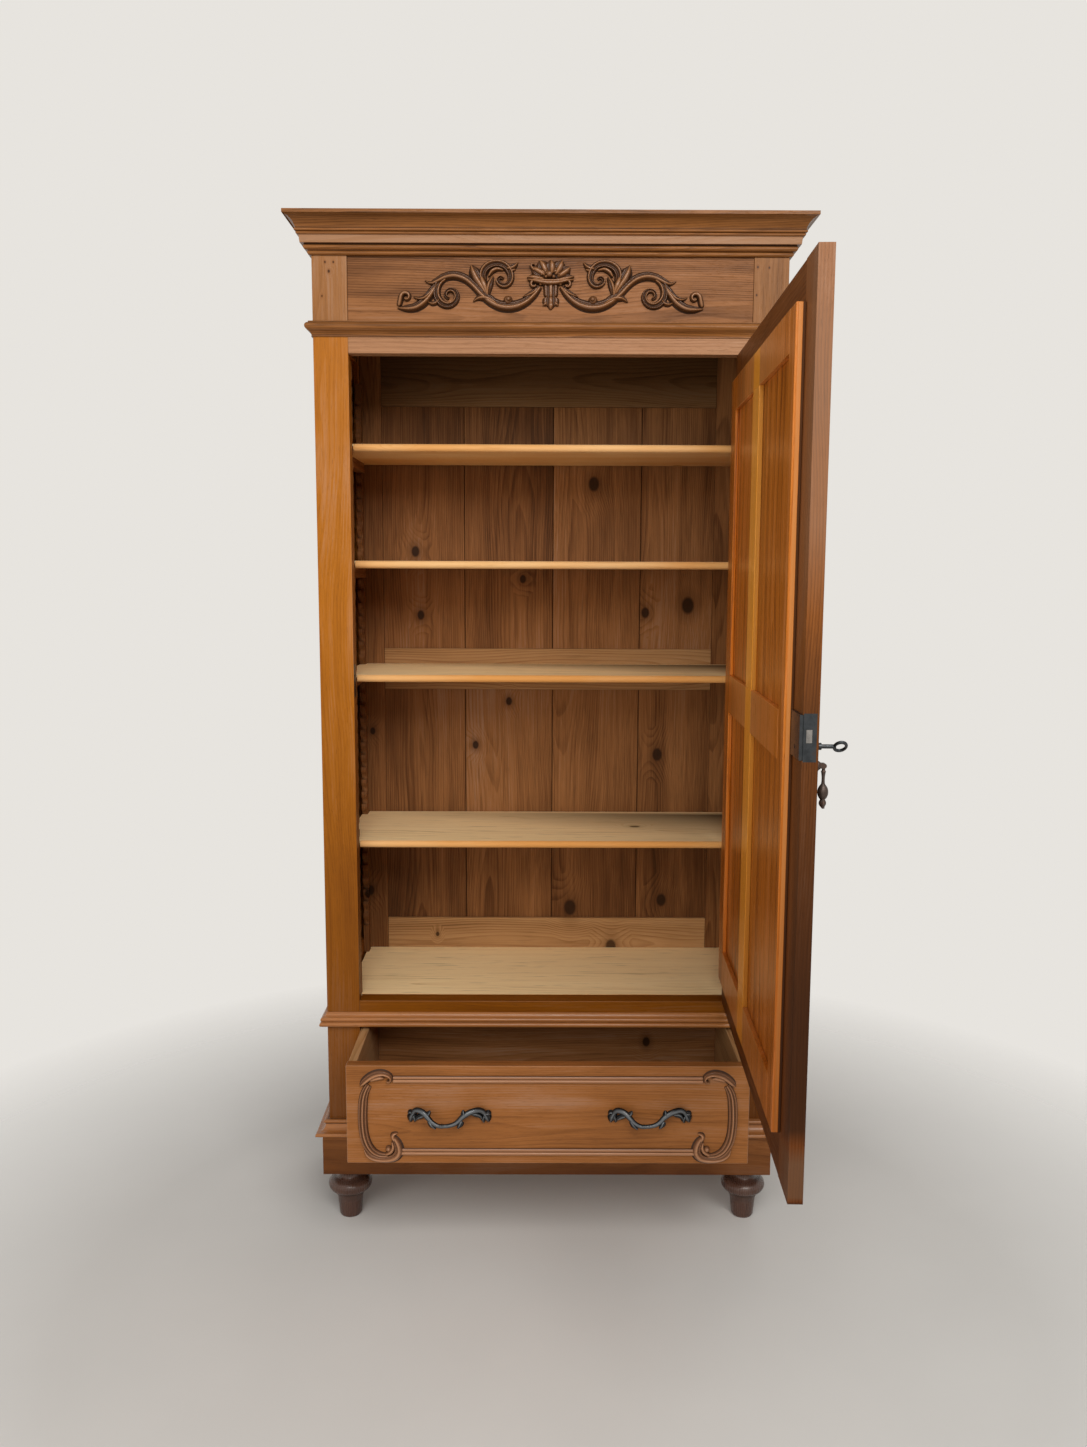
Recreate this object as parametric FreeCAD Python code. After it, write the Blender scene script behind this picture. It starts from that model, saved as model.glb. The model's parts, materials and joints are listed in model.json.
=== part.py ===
import FreeCAD, Part
import math
import os

from FreeCAD import Vector

os.makedirs("parts", exist_ok=True)

# Driving sizes of the carcass, in millimetres. X is right, Y is back, Z is up, the floor is Z = 0.
BODY_W = 920.0
BODY_D = 380.0
TOP_Z = 2053.0
POST_W = 67.5
POST_T = 30.0
REAR_POST_W = 35.0
REAR_POST_T = 40.0
SIDE_T = 28.0
SIDE_INSET = 2.0

# Heights of the parts that stack up at the foot and under the cornice.
FOOT_H = 112.0
BASE_T = 18.0
PLINTH_H = 88.0
BASE_MOULD_H = 32.0
DRAWER_H = 205.0
WAIST_H = 53.0
HEAD_H = 46.0
FRIEZE_H = 136.0
CORNICE_H = 73.0
PLINTH_P = 13.0
FRIEZE_RECESS = 3.0

# Back, a frame with tongued vertical boards; the seams are shares of the half width between its stiles.
BACK_SET = 28.0
BACK_T = 22.0
BACK_BOARD_T = 10.0
BACK_STILE_SHOW = 15.5
BACK_SEAMS = (-0.507, 0.029, 0.56)
SEAM_GAP = 1.2
TONGUE = 6.0
TONGUE_T = 3.2

# Shelves, and the notched racks and cleats that carry them; shelf places are shares of the notches.
SHELF_T = 15.0
SHELF_SET = 46.0
RACK_PITCH = 29.0
RACK_T = 24.0
RACK_DEPTH = 8.0
RACK_HEAD = 56.0
CLEAT_H = 20.0
SHELF_AT = (0.12, 0.31, 0.5, 0.786)

# Door, drawn shut and then turned to its half-open stand.
DOOR_GAP = 2.0
DOOR_T = 22.0
DOOR_STILE = 78.0
DOOR_RAIL_TOP = 80.0
DOOR_RAIL_LOW = 100.0
BACKING_T = 14.0
BACKING_IN_X = (69.0, 50.0)
BACKING_IN_Z = (72.0, 57.0)
BACKING_STILE = (46.0, 56.0)
BACKING_RAIL = (70.0, 72.0, 60.0)
BACKING_MUNTIN_W = 66.0
PANEL_T = 6.0
PANEL_LAP = 6.0
MIRROR_T = 5.0
DOOR_ANGLE = 88.0
HINGE_PROUD = 7.5
HINGE_END = 150.0
KNUCKLE_R = 6.0
KNUCKLE_L = 45.0
PIN_R = 3.0
PIN_FIT = 0.05

# Lock, key and drop pull on the free stile of the door, placed from its edge.
LOCK_H = 66.0
LOCK_W = 62.0
LOCK_LIFT = 15.0
BOLT_H = 18.0
BOLT_T = 8.0
BOLT_L = 46.0
BOLT_THROW = 13.0
KEY_IN = 33.0
KEY_R = 3.0
BIT_R = 8.5
PULL_IN = 17.0

# Drawer, drawn shut and then pulled out; its pulls sit at shares of the half front.
DRAWER_OUT = 195.0
DRAWER_FRONT_T = 24.0
DRAWER_SIDE_T = 17.0
DRAWER_SHORT = 40.0
DRAWER_FIT = 0.3
PULL_AT = (-0.4866, 0.507)

# Shared fits, and the length of the facets along carved bands.
TENON_FIT = 0.2
MOVE_FIT = 0.3
CARVE_FACET = 6.5

# Levels up the front.
BASE_Z = FOOT_H
POST_LOW = BASE_Z + BASE_T
PLINTH_TOP = BASE_Z + PLINTH_H
DRAWER_LOW = PLINTH_TOP + BASE_MOULD_H
DRAWER_HIGH = DRAWER_LOW + DRAWER_H
DRAWER_MID = (DRAWER_LOW + DRAWER_HIGH) / 2
FLOOR_Z = DRAWER_HIGH + WAIST_H
POST_TOP = TOP_Z - CORNICE_H
FRIEZE_LOW = POST_TOP - FRIEZE_H
FRIEZE_MID = (FRIEZE_LOW + POST_TOP) / 2
DOOR_HEAD = FRIEZE_LOW - HEAD_H
DOOR_MID = (FLOOR_Z + DOOR_HEAD) / 2
DOOR_Z = (FLOOR_Z + DOOR_GAP, DOOR_HEAD - DOOR_GAP)
HINGE_Z = (FLOOR_Z + HINGE_END, DOOR_MID, DOOR_HEAD - HINGE_END)
LOCK_MID = DOOR_MID + LOCK_LIFT
LOCK_Z = (LOCK_MID - LOCK_H / 2, LOCK_MID + LOCK_H / 2)
BOLT_Z = (LOCK_MID + 2 - BOLT_H / 2, LOCK_MID + 2 + BOLT_H / 2)
KEY_Z = LOCK_MID - 16
PULL_Z = KEY_Z - 24
RACK_TOP_NOTCH = DOOR_HEAD - RACK_HEAD
RACK_NOTCHES = int((RACK_TOP_NOTCH - FLOOR_Z - 30) / RACK_PITCH)

# Places across and from front to back.
HALF = BODY_W / 2
FRONT = -BODY_D / 2
REAR = BODY_D / 2
OPEN = HALF - POST_W
SIDE_IN = HALF - SIDE_INSET - SIDE_T
BACK_FACE = REAR - BACK_SET
BACK_STILE_IN = OPEN - BACK_STILE_SHOW
BACK_RAILS = ((POST_LOW, POST_LOW + 85), (FLOOR_Z - 18, FLOOR_Z + 73), (DOOR_MID - 36, DOOR_MID + 59),
              (DOOR_HEAD - 52, POST_TOP))
SHELF_FRONT = FRONT + SHELF_SET
DOOR_X = OPEN - DOOR_GAP
DOOR_IN = FRONT + DOOR_T
BACKING_X = (BACKING_IN_X[0] - DOOR_X, DOOR_X - BACKING_IN_X[1])
BACKING_Z = (DOOR_Z[0] + BACKING_IN_Z[0], DOOR_Z[1] - BACKING_IN_Z[1])
BACKING_MID = (DOOR_MID + 4 - BACKING_RAIL[1] / 2, DOOR_MID + 4 + BACKING_RAIL[1] / 2)
MUNTIN_X = sum(BACKING_X) / 2 + 17
BACKING_MUNTIN = (MUNTIN_X - BACKING_MUNTIN_W / 2, MUNTIN_X + BACKING_MUNTIN_W / 2)
HINGE = Vector(OPEN - DOOR_GAP / 2, FRONT - HINGE_PROUD, 0)
KEY_X = KEY_IN - DOOR_X
PULL_X = PULL_IN - DOOR_X
BOLT_Y = FRONT + 13.0
RUN_IN = OPEN - 20.5


def box(x, y, z):
    """A box from three (low, high) pairs."""
    size = (x[1] - x[0], y[1] - y[0], z[1] - z[0])
    return Part.makeBox(size[0], size[1], size[2], Vector(x[0], y[0], z[0]))


def pair(x, y, z):
    """A box on the right and its mirror image on the left."""
    return [box((-x[1], -x[0]), y, z), box(x, y, z)]


def mirrored(shape):
    """The same shape on the other side of the X = 0 plane."""
    return shape.mirror(Vector(0, 0, 0), Vector(1, 0, 0))


def rod(radius, length, start, direction):
    """A round bar."""
    return Part.makeCylinder(radius, length, Vector(*start), Vector(*direction))


def outline(steps, place):
    """A closed wire; a step of two numbers is a line to a point, one of four an arc through a point."""
    edges = []
    last = steps[0]
    for step in steps[1:] + [steps[0]]:
        end = step[-2:]
        a = place(*last)
        b = place(*end)
        if a.distanceToPoint(b) > 1e-6:
            if len(step) == 4:
                edges.append(Part.Arc(a, place(*step[:2]), b).toShape())
            else:
                edges.append(Part.makeLine(a, b))
        last = end
    return Part.Wire(edges)


def prism(steps, place, along):
    """The outline filled and pushed along a vector."""
    return Part.Face(outline(steps, place)).extrude(Vector(*along))


def turned(steps, centre):
    """A turned piece from a radius-height profile about a vertical axis."""
    face = Part.Face(outline(steps, lambda r, z: Vector(centre[0] + r, centre[1], z)))
    return face.revolve(Vector(centre[0], centre[1], 0), Vector(0, 0, 1), 360)


def plan(points, z):
    """A vertical prism over a polygon seen from above."""
    wire = Part.makePolygon([Vector(x, y, z[0]) for x, y in points + points[:1]])
    return Part.Face(wire).extrude(Vector(0, 0, z[1] - z[0]))


def wrapped(steps, reach, inner):
    """A moulding round the front and both sides, mitred at the corners, as three pieces."""
    z = (BASE_Z - 50, TOP_Z + 50)
    far = HALF + reach
    near = HALF - inner
    ends = FRONT - reach
    back = FRONT + inner
    run = prism(steps, lambda p, h: Vector(-far, FRONT - p, h), (2 * far, 0, 0))
    side = prism(steps, lambda p, h: Vector(-HALF - p, ends, h), (0, REAR - ends, 0))
    front = run.common(plan([(-near, back), (near, back), (far, ends), (-far, ends)], z))
    left = side.common(plan([(-near, back), (-far, ends), (-far, REAR), (-near, REAR)], z))
    return [left, front, mirrored(left)]


def framed(panels, members):
    """Cuts the grooves for the panels into the members around them."""
    for panel in panels:
        b = panel.BoundBox
        f = TENON_FIT
        groove = box((b.XMin - f, b.XMax + f), (b.YMin - f, b.YMax + f), (b.ZMin - f, b.ZMax + f))
        members = [m.cut(groove) if m.BoundBox.intersect(groove.BoundBox) else m for m in members]
    return members


def spline(points):
    """A smooth edge through points."""
    curve = Part.BSplineCurve()
    curve.interpolate([Vector(*p) for p in points])
    return curve


def width_at(widths, t):
    """Width at the share t of a band's length, from widths spaced evenly along it."""
    k = t * (len(widths) - 1)
    j = min(int(k), len(widths) - 2)
    return widths[j] + (k - j) * (widths[j + 1] - widths[j])


def ribbon(path, widths, y, height, slope=0.45):
    """A raised band cut in short facets along a curve in the XZ plane, its sides sloping to a narrower top."""
    curve = spline([(x, 0, z) for x, z in path])
    length = curve.length()
    count = max(3, round(length / CARVE_FACET))
    rings = []
    for i in range(count + 1):
        u = curve.parameterAtDistance(length * i / count, curve.FirstParameter)
        along = curve.tangent(u)[0]
        across = Vector(-along.z, 0, along.x) * (width_at(widths, i / count) / 2)
        foot = curve.value(u) + Vector(0, y, 0)
        crest = foot - Vector(0, height, 0)
        rings.append((foot + across, crest + across * slope, crest - across * slope, foot - across))
    corners = [rings[0], rings[-1]]
    for a, b in zip(rings, rings[1:]):
        corners += [(a[1], b[1], b[2], a[2]), (a[3], b[3], b[0], a[0])]
        for i in (0, 2):
            corners += [(a[i], b[i], a[i + 1]), (b[i], b[i + 1], a[i + 1])]
    faces = [Part.Face(Part.makePolygon(list(c) + [c[0]])) for c in corners]
    solid = Part.Solid(Part.Shell(faces))
    if solid.Volume < 0:
        solid.reverse()
    return solid


def volute(centre, radii, start, turns):
    """Points of a spiral from the outer to the inner radius, angles in degrees, turns below 0 clockwise."""
    points = []
    steps = round(abs(turns) * 9)
    for i in range(steps + 1):
        a = math.radians(start + 360 * turns * i / steps)
        r = radii[0] + (radii[1] - radii[0]) * i / steps
        points.append((centre[0] + r * math.cos(a), centre[1] + r * math.sin(a)))
    return points


def boss(x, z, radius, y, height):
    """A round boss with sloping sides standing out of a face."""
    return Part.makeCone(radius, 0.55 * radius, height, Vector(x, y, z), Vector(0, -1, 0))


def fused(shapes):
    """One solid from overlapping shapes."""
    return shapes[0].multiFuse(shapes[1:]).removeSplitter()


nodes = {}


def keep(name, shapes):
    """Files one node as a single solid or a group of solids."""
    nodes[name] = shapes if isinstance(shapes, list) else [shapes]


# Posts. The left front post takes the lock's strike, the right one the hinge leaves.
post_right = box((OPEN, HALF), (FRONT, FRONT + POST_T), (POST_LOW, POST_TOP))
post_left = mirrored(post_right)
rear_posts = pair((HALF - REAR_POST_W, HALF), (REAR - REAR_POST_T, REAR), (POST_LOW, POST_TOP))

# Sides: three rails and two panels each, panels let into grooves.
side_y = (FRONT + POST_T, REAR - REAR_POST_T)
side_x = (SIDE_IN, HALF - SIDE_INSET)
side_levels = ((POST_LOW, DRAWER_LOW - 4), (DRAWER_HIGH + 3, FLOOR_Z + 30), (FRIEZE_LOW - 4, POST_TOP))
side_rails = []
for low, high in side_levels:
    side_rails += pair(side_x, side_y, (low, high))
side_panels = []
for below, above in zip(side_levels, side_levels[1:]):
    x = (SIDE_IN + 8, SIDE_IN + 20)
    side_panels += pair(x, (side_y[0] - 8, side_y[1] + 8), (below[1] - 8, above[0] + 8))
members = framed(side_panels, side_rails + [post_left, post_right] + rear_posts)
side_rails = members[:6]
post_left, post_right = members[6:8]
rear_posts = members[8:]
keep("side_rails", side_rails)
keep("side_panels", side_panels)
keep("posts_rear", rear_posts)

# Rails across the front.
span = (-OPEN, OPEN)
keep("top_rail", box(span, (FRONT, FRONT + POST_T), (DOOR_HEAD, FRIEZE_LOW)))
keep("frieze_board", box(span, (FRONT + FRIEZE_RECESS, FRONT + 25), (FRIEZE_LOW, POST_TOP)))
keep("bottom_rail", box(span, (FRONT, FRONT + 40), (DRAWER_HIGH, FLOOR_Z)))
keep("base_rail", box(span, (FRONT, FRONT + POST_T), (POST_LOW, DRAWER_LOW)))

# Mouldings that wrap round the front and the sides, bottom to top.
z = BASE_Z
plinth_steps = [(0, z), (PLINTH_P, z), (PLINTH_P, PLINTH_TOP), (0, PLINTH_TOP)]
keep("plinth", wrapped(plinth_steps, PLINTH_P, 0))
z = PLINTH_TOP
base_steps = [(0, z), (23, z), (26, z + 4, 23, z + 8), (20, z + 8), (10.5, z + 12.5, 7, z + 23),
              (7, z + 24.5), (10.5, z + 28, 7, z + 31.5), (2, z + 32), (0, z + 32)]
keep("base_moulding", wrapped(base_steps, 30, 0))
z = DRAWER_HIGH
waist_steps = [(0, z), (10, z), (14.7, z + 5, 10, z + 10), (8.5, z + 10.5), (12.5, z + 15.2, 8.5, z + 20),
               (6.5, z + 20.5), (3, z + 24, 1.8, z + 29), (0, z + 29)]
keep("waist_moulding", wrapped(waist_steps, 20, 0))
z = FRIEZE_LOW - 15
frieze_steps = [(0, z), (2.5, z), (4.2, z + 7.3, 9.5, z + 11.5), (10, z + 12.5), (14.2, z + 19, 10, z + 25.5),
                (8, z + 26), (8, z + 28.5), (0, z + 30)]
keep("frieze_moulding", wrapped(frieze_steps, 20, 0))
z = POST_TOP
cornice_steps = [(-30, z), (1.5, z), (6.5, z + 3.5, 4, z + 8), (7, z + 8.5), (13, z + 13, 11, z + 17.5),
                 (11, z + 19.5), (18.5, z + 19.5), (20, z + 33), (21, z + 33.5), (24.5, z + 36, 21.5, z + 38.5),
                 (24.5, z + 39), (27.5, z + 41.5, 25, z + 44), (30.5, z + 56.5, 43, z + 66), (46, z + 66.5),
                 (46, TOP_Z), (-30, TOP_Z)]
keep("cornice_moulding", wrapped(cornice_steps, 60, 30))
inside = (-HALF + 30, HALF - 30)
keep("cornice_back", box(inside, (REAR - 30, REAR), (POST_TOP, TOP_Z)))
keep("top_board", box(inside, (FRONT + 30, REAR - 30), (POST_TOP, POST_TOP + 16)))

# Base board and the turned feet, each foot with a tenon in the board.
foot_at = [(side * (HALF - 36), y) for y in (FRONT + 34, REAR - 34) for side in (-1, 1)]
ankle = 0.4 * FOOT_H
knob = 0.64 * FOOT_H
foot_steps = [(0, 0), (21, 0), (23.6, 4), (27.5, ankle), (30.5, ankle + 4), (30.5, knob - 17), (38, knob - 13),
              (46.3, knob, 38, knob + 13), (30, knob + 15), (23.5, BASE_Z - 16, 29, BASE_Z - 6),
              (34, BASE_Z - 5), (34, BASE_Z), (12, BASE_Z), (12, BASE_Z + 14), (0, BASE_Z + 14)]
base_board = box((-HALF, HALF), (FRONT, REAR), (BASE_Z, POST_LOW))
for x, y in foot_at:
    base_board = base_board.cut(rod(12 + TENON_FIT, 15, (x, y, BASE_Z), (0, 0, 1)))
keep("base_board", base_board)
keep("feet", [turned(foot_steps, at) for at in foot_at])

# Back frame and its tongued boards.
back_y = (BACK_FACE, BACK_FACE + BACK_T)
back_stiles = pair((BACK_STILE_IN, HALF - REAR_POST_W), back_y, (POST_LOW, POST_TOP))
back_rails = [box((-BACK_STILE_IN, BACK_STILE_IN), back_y, level) for level in BACK_RAILS]
board_y = (BACK_FACE + 6, BACK_FACE + 6 + BACK_BOARD_T)
seams = tuple(BACK_STILE_IN * share for share in BACK_SEAMS)
board_x = (-BACK_STILE_IN - 8,) + seams + (BACK_STILE_IN + 8,)
tongue_y = (sum(board_y) / 2 - TONGUE_T / 2, sum(board_y) / 2 + TONGUE_T / 2)
slot_y = (tongue_y[0] - TENON_FIT, tongue_y[1] + TENON_FIT)
fields = []
for below, above in zip(BACK_RAILS, BACK_RAILS[1:]):
    level = (below[1] - 8, above[0] + 8)
    boards = []
    for a, b in zip(board_x, board_x[1:]):
        low = a + SEAM_GAP / 2
        high = b - SEAM_GAP / 2
        board = box((low, high), board_y, level)
        if a != board_x[0]:
            board = board.cut(box((low - 1, low + TONGUE), slot_y, level))
        if b != board_x[-1]:
            tongue_end = high + SEAM_GAP + TONGUE - TENON_FIT
            board = fused([board, box((high - 1, tongue_end), tongue_y, level)])
        boards.append(board)
    fields.append(boards)
grooves = [box((board_x[0], board_x[-1]), board_y, (f[0].BoundBox.ZMin, f[0].BoundBox.ZMax)) for f in fields]
members = framed(grooves, back_stiles + back_rails)
keep("back_stiles", members[:2])
keep("back_rails", members[2:])
keep("back_boards_base", fields[0])
keep("back_boards_lower", fields[1])
keep("back_boards_upper", fields[2])

# Floor of the cupboard, and what carries and guides the drawer under it.
floor_y = (FRONT + 40, BACK_FACE)
floor_x = HALF - REAR_POST_W - 0.5
keep("floor_board", box((-floor_x, floor_x), floor_y, (FLOOR_Z - 18, FLOOR_Z)))
run_y = (FRONT + POST_T, REAR - REAR_POST_T)
keep("drawer_kickers", pair((RUN_IN, SIDE_IN), (floor_y[0], run_y[1]), (DRAWER_HIGH + 2, FLOOR_Z - 18)))
runner_steps = [(RUN_IN, DRAWER_LOW - 18), (SIDE_IN, DRAWER_LOW - 18), (SIDE_IN, DRAWER_LOW + 30),
                (OPEN, DRAWER_LOW + 30), (OPEN, DRAWER_LOW), (RUN_IN, DRAWER_LOW)]
runner = prism(runner_steps, lambda x, h: Vector(x, run_y[0], h), (0, run_y[1] - run_y[0], 0))
keep("drawer_runners", [mirrored(runner), runner])


def rack_steps(face, way):
    """Section of a notched rack: notches cut into the face that looks along way."""
    steps = [(face - way * RACK_T, FLOOR_Z), (face, FLOOR_Z)]
    for i in reversed(range(RACK_NOTCHES)):
        n = RACK_TOP_NOTCH - i * RACK_PITCH
        steps += [(face, n), (face - way * RACK_DEPTH, n), (face - way * RACK_DEPTH, n + 11), (face, n + 17)]
    return steps + [(face, DOOR_HEAD - 8), (face - way * RACK_T, DOOR_HEAD - 8)]


# Racks behind the front posts and before the rear posts, notched towards each other.
front_face = FRONT + POST_T + RACK_T
rear_face = REAR - REAR_POST_T - RACK_T
rack_x = (OPEN + 2, SIDE_IN - 12)
front_rack = prism(rack_steps(front_face, 1), lambda y, h: Vector(rack_x[0], y, h), (SIDE_IN - rack_x[0], 0, 0))
rear_rack = prism(rack_steps(rear_face, -1), lambda y, h: Vector(rack_x[1], y, h), (SIDE_IN - rack_x[1], 0, 0))
keep("shelf_racks", [mirrored(front_rack), front_rack, mirrored(rear_rack), rear_rack])

# Cleats that lie in the notches, and the four loose shelves on them.
cleats = []
for number, share in enumerate(SHELF_AT, 1):
    low = RACK_TOP_NOTCH - round(share * RACK_NOTCHES) * RACK_PITCH
    high = low + CLEAT_H
    a = front_face + MOVE_FIT
    b = rear_face - MOVE_FIT
    steps = [(a - 7, low), (b + 7, low), (b + 7, low + 10), (b, low + 10), (b, high), (a, high), (a, low + 10),
             (a - 7, low + 10)]
    cleat = prism(steps, lambda y, h: Vector(SIDE_IN - 18, y, h), (18, 0, 0))
    cleats += [mirrored(cleat), cleat]
    low = high
    r = SHELF_T / 2
    y0 = SHELF_FRONT
    y1 = BACK_FACE - 2
    edge = [(y0 + r, low), (y1, low), (y1, low + SHELF_T), (y0 + r, low + SHELF_T), (y0, low + r, y0 + r, low)]
    shelf = prism(edge, lambda y, h: Vector(1 - SIDE_IN, y, h), (2 * SIDE_IN - 2, 0, 0))
    z = (low - 1, low + SHELF_T + 1)
    at_front = pair((OPEN + 0.5, SIDE_IN), (y0 - 1, front_face + 2), z)
    at_rear = pair((SIDE_IN - 13.5, SIDE_IN), (rear_face - 2, REAR), z)
    for corner in at_front + at_rear:
        shelf = shelf.cut(corner)
    keep("shelf_%d" % number, shelf)
keep("shelf_cleats", cleats)

# Carved ornament of the frieze, drawn from the middle of the frieze for the left half and mirrored.
carve_y = FRONT + FRIEZE_RECESS


def carved(path, widths, height):
    """A carved band on the frieze; heights count from the middle of the frieze."""
    return ribbon([(x, FRIEZE_MID + h) for x, h in path], widths, carve_y, height)


stem = [(-243, 24.4), (-231, 18.5), (-212.7, 29.2), (-190, 34), (-165, 27.5), (-137, 1.3), (-102.5, -21.6),
        (-80, -26), (-50, -18), (-28.7, 0.1), (-19.6, 13.3)]
branch = [(-125, -8.4), (-129.8, 18), (-124, 43), (-107.6, 53), (-90, 47)]
branch += volute((-92, 23.5), (19, 6), 52, -0.85)
scroll = fused([
    carved(stem, (2.5, 7, 10, 11, 10, 9, 9, 8, 7, 6, 5), 9),
    carved(branch, (9, 9, 8, 8, 9, 8, 7, 6, 4.5), 12),
    carved(volute((-195, -7), (35, 7), 108, 1.2), (8, 9, 9, 8, 7, 5.5, 4), 11),
    carved(volute((-283, -11), (18, 6), 245, -0.85), (7, 6, 6, 5, 4), 9.5),
    carved(volute((-33.5, 14), (13, 6), -20, -0.8), (6, 5.5, 5, 4.5, 4), 8.6),
    carved([(-296, -28.5), (-266, -30.5), (-240, -17.7), (-221.8, 9.4)], (2, 8, 9, 8, 7), 8),
    carved([(-266, -6.7), (-252, -12.9), (-239, -9), (-226, 3.7)], (2, 6, 7, 6), 10),
    carved([(-152, -20), (-142, -12.7), (-114, -15.6)], (2, 7, 6), 8.5),
    carved([(-153, 49), (-146, 28), (-136, 1)], (1.5, 9, 7), 9.7),
    carved([(-86, 41.4), (-72, 46), (-63.7, 56.4)], (6, 6, 1.5), 9.2),
    carved([(-53.8, -5.3), (-42.5, -6.1), (-29.3, 0.1)], (2, 6, 6), 8.2),
    carved([(-121, 38), (-108.6, 42.4), (-84, 35)], (3, 6, 4), 10.5),
    boss(-83.3, FRIEZE_MID - 14.5, 8, carve_y, 7),
])
keep("carved_scrolls", [scroll, mirrored(scroll)])

# Flower basket between the scrolls: five petals over a bowl on a slotted stalk.
heart = 28.0
petals = []
tips = ((-38.8, 51, 10), (-20.6, 62.8, 11), (0, 65, 12), (20.6, 62.8, 11), (38.8, 51, 10))
for x, tip, height in tips:
    petal = [(x * k, heart + (tip - heart) * k) for k in (0.2, 0.62, 1.0)]
    petals.append(carved(petal, (8, 15, 2), height))
bowl = prism([(-44, 31), (0, 33), (44, 31), (44, 27), (15, 24.5), (-15, 24.5), (-44, 27)],
             lambda x, h: Vector(x, carve_y, FRIEZE_MID + h), (0, -13, 0))
stalk = prism([(-14, 28), (14, 28), (12, -6), (8, -14), (9, -21), (15, -24), (0, -32.5), (-15, -24), (-9, -21),
               (-8, -14), (-12, -6)], lambda x, h: Vector(x, carve_y, FRIEZE_MID + h), (0, -9, 0))
basket = fused(petals + [bowl, stalk, boss(0, FRIEZE_MID + 38, 11, carve_y, 14)])
for slot in pair((7, 10), (carve_y - 10, carve_y - 5), (FRIEZE_MID - 4, FRIEZE_MID + 15)):
    basket = basket.cut(slot)
keep("carved_basket", basket)

# Door frame.
door_y = (FRONT, DOOR_IN)
stile_hinge = box((DOOR_X - DOOR_STILE, DOOR_X), door_y, DOOR_Z)
stile_lock = mirrored(stile_hinge)
glass_x = DOOR_X - DOOR_STILE
glass_z = (DOOR_Z[0] + DOOR_RAIL_LOW, DOOR_Z[1] - DOOR_RAIL_TOP)
keep("door_rail_top", box((-glass_x, glass_x), door_y, (glass_z[1], DOOR_Z[1])))
keep("door_rail_low", box((-glass_x, glass_x), door_y, (DOOR_Z[0], glass_z[0])))

# Mirror held between a moulding at the front and the backing behind.
mirror_y = (DOOR_IN - MIRROR_T, DOOR_IN)
plate = box((1 - glass_x, glass_x - 1), mirror_y, (glass_z[0] + 1, glass_z[1] - 1))
keep("mirror", plate)
bead = [(0, FRONT - 4), (5, FRONT - 4), (12, FRONT + 1, 16, FRONT + 9), (16, mirror_y[0]), (0, mirror_y[0])]
mid_z = (glass_z[0] + glass_z[1]) / 2
tall = glass_z[1] - glass_z[0]
upright = prism(bead, lambda p, y: Vector(-glass_x + p, y, glass_z[0]), (0, 0, tall))
across = prism(bead, lambda p, y: Vector(-glass_x, y, glass_z[0] + p), (2 * glass_x, 0, 0))


def mitre(a, b, c):
    """A triangular or four-sided prism through the door that parts the bead at its corners."""
    wire = Part.makePolygon([Vector(x, FRONT - 10, h) for x, h in (a, b) + c + (a,)])
    return Part.Face(wire).extrude(Vector(0, 40, 0))


low_left = (-glass_x, glass_z[0])
low_right = (glass_x, glass_z[0])
high_left = (-glass_x, glass_z[1])
low_left_in = (60 - glass_x, glass_z[0] + 60)
low_right_in = (glass_x - 60, glass_z[0] + 60)
high_left_in = (60 - glass_x, glass_z[1] - 60)
bead_left = upright.common(mitre(low_left, high_left, (high_left_in, low_left_in)))
bead_low = across.common(mitre(low_left, low_right, (low_right_in, low_left_in)))
bead_high = bead_low.mirror(Vector(0, 0, mid_z), Vector(0, 0, 1))
keep("mirror_moulding", [bead_left, mirrored(bead_left), bead_low, bead_high])

# Backing of the door: a frame of stiles, rails and muntins with four panels let in from the mirror side.
backing_y = (DOOR_IN, DOOR_IN + BACKING_T)
bx = (BACKING_X[0] + BACKING_STILE[0], BACKING_X[1] - BACKING_STILE[1])
bz = (BACKING_Z[0] + BACKING_RAIL[0], BACKING_Z[1] - BACKING_RAIL[2])
stiles = [box((BACKING_X[0], bx[0]), backing_y, BACKING_Z), box((bx[1], BACKING_X[1]), backing_y, BACKING_Z)]
rails = [box(bx, backing_y, level) for level in ((BACKING_Z[0], bz[0]), BACKING_MID, (bz[1], BACKING_Z[1]))]
field_z = ((bz[0], BACKING_MID[0]), (BACKING_MID[1], bz[1]))
muntins = [box(BACKING_MUNTIN, backing_y, level) for level in field_z]
panel_y = (DOOR_IN, DOOR_IN + PANEL_T)
lap = PANEL_LAP
panels = []
for x in ((bx[0], BACKING_MUNTIN[0]), (BACKING_MUNTIN[1], bx[1])):
    for z in field_z:
        panels.append(box((x[0] - lap, x[1] + lap), panel_y, (z[0] - lap, z[1] + lap)))
members = framed(panels, stiles + rails + muntins)
keep("backing_stiles", members[:2])
keep("backing_rails", members[2:5])
keep("backing_muntins", members[5:])
keep("backing_panels", panels)

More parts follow.
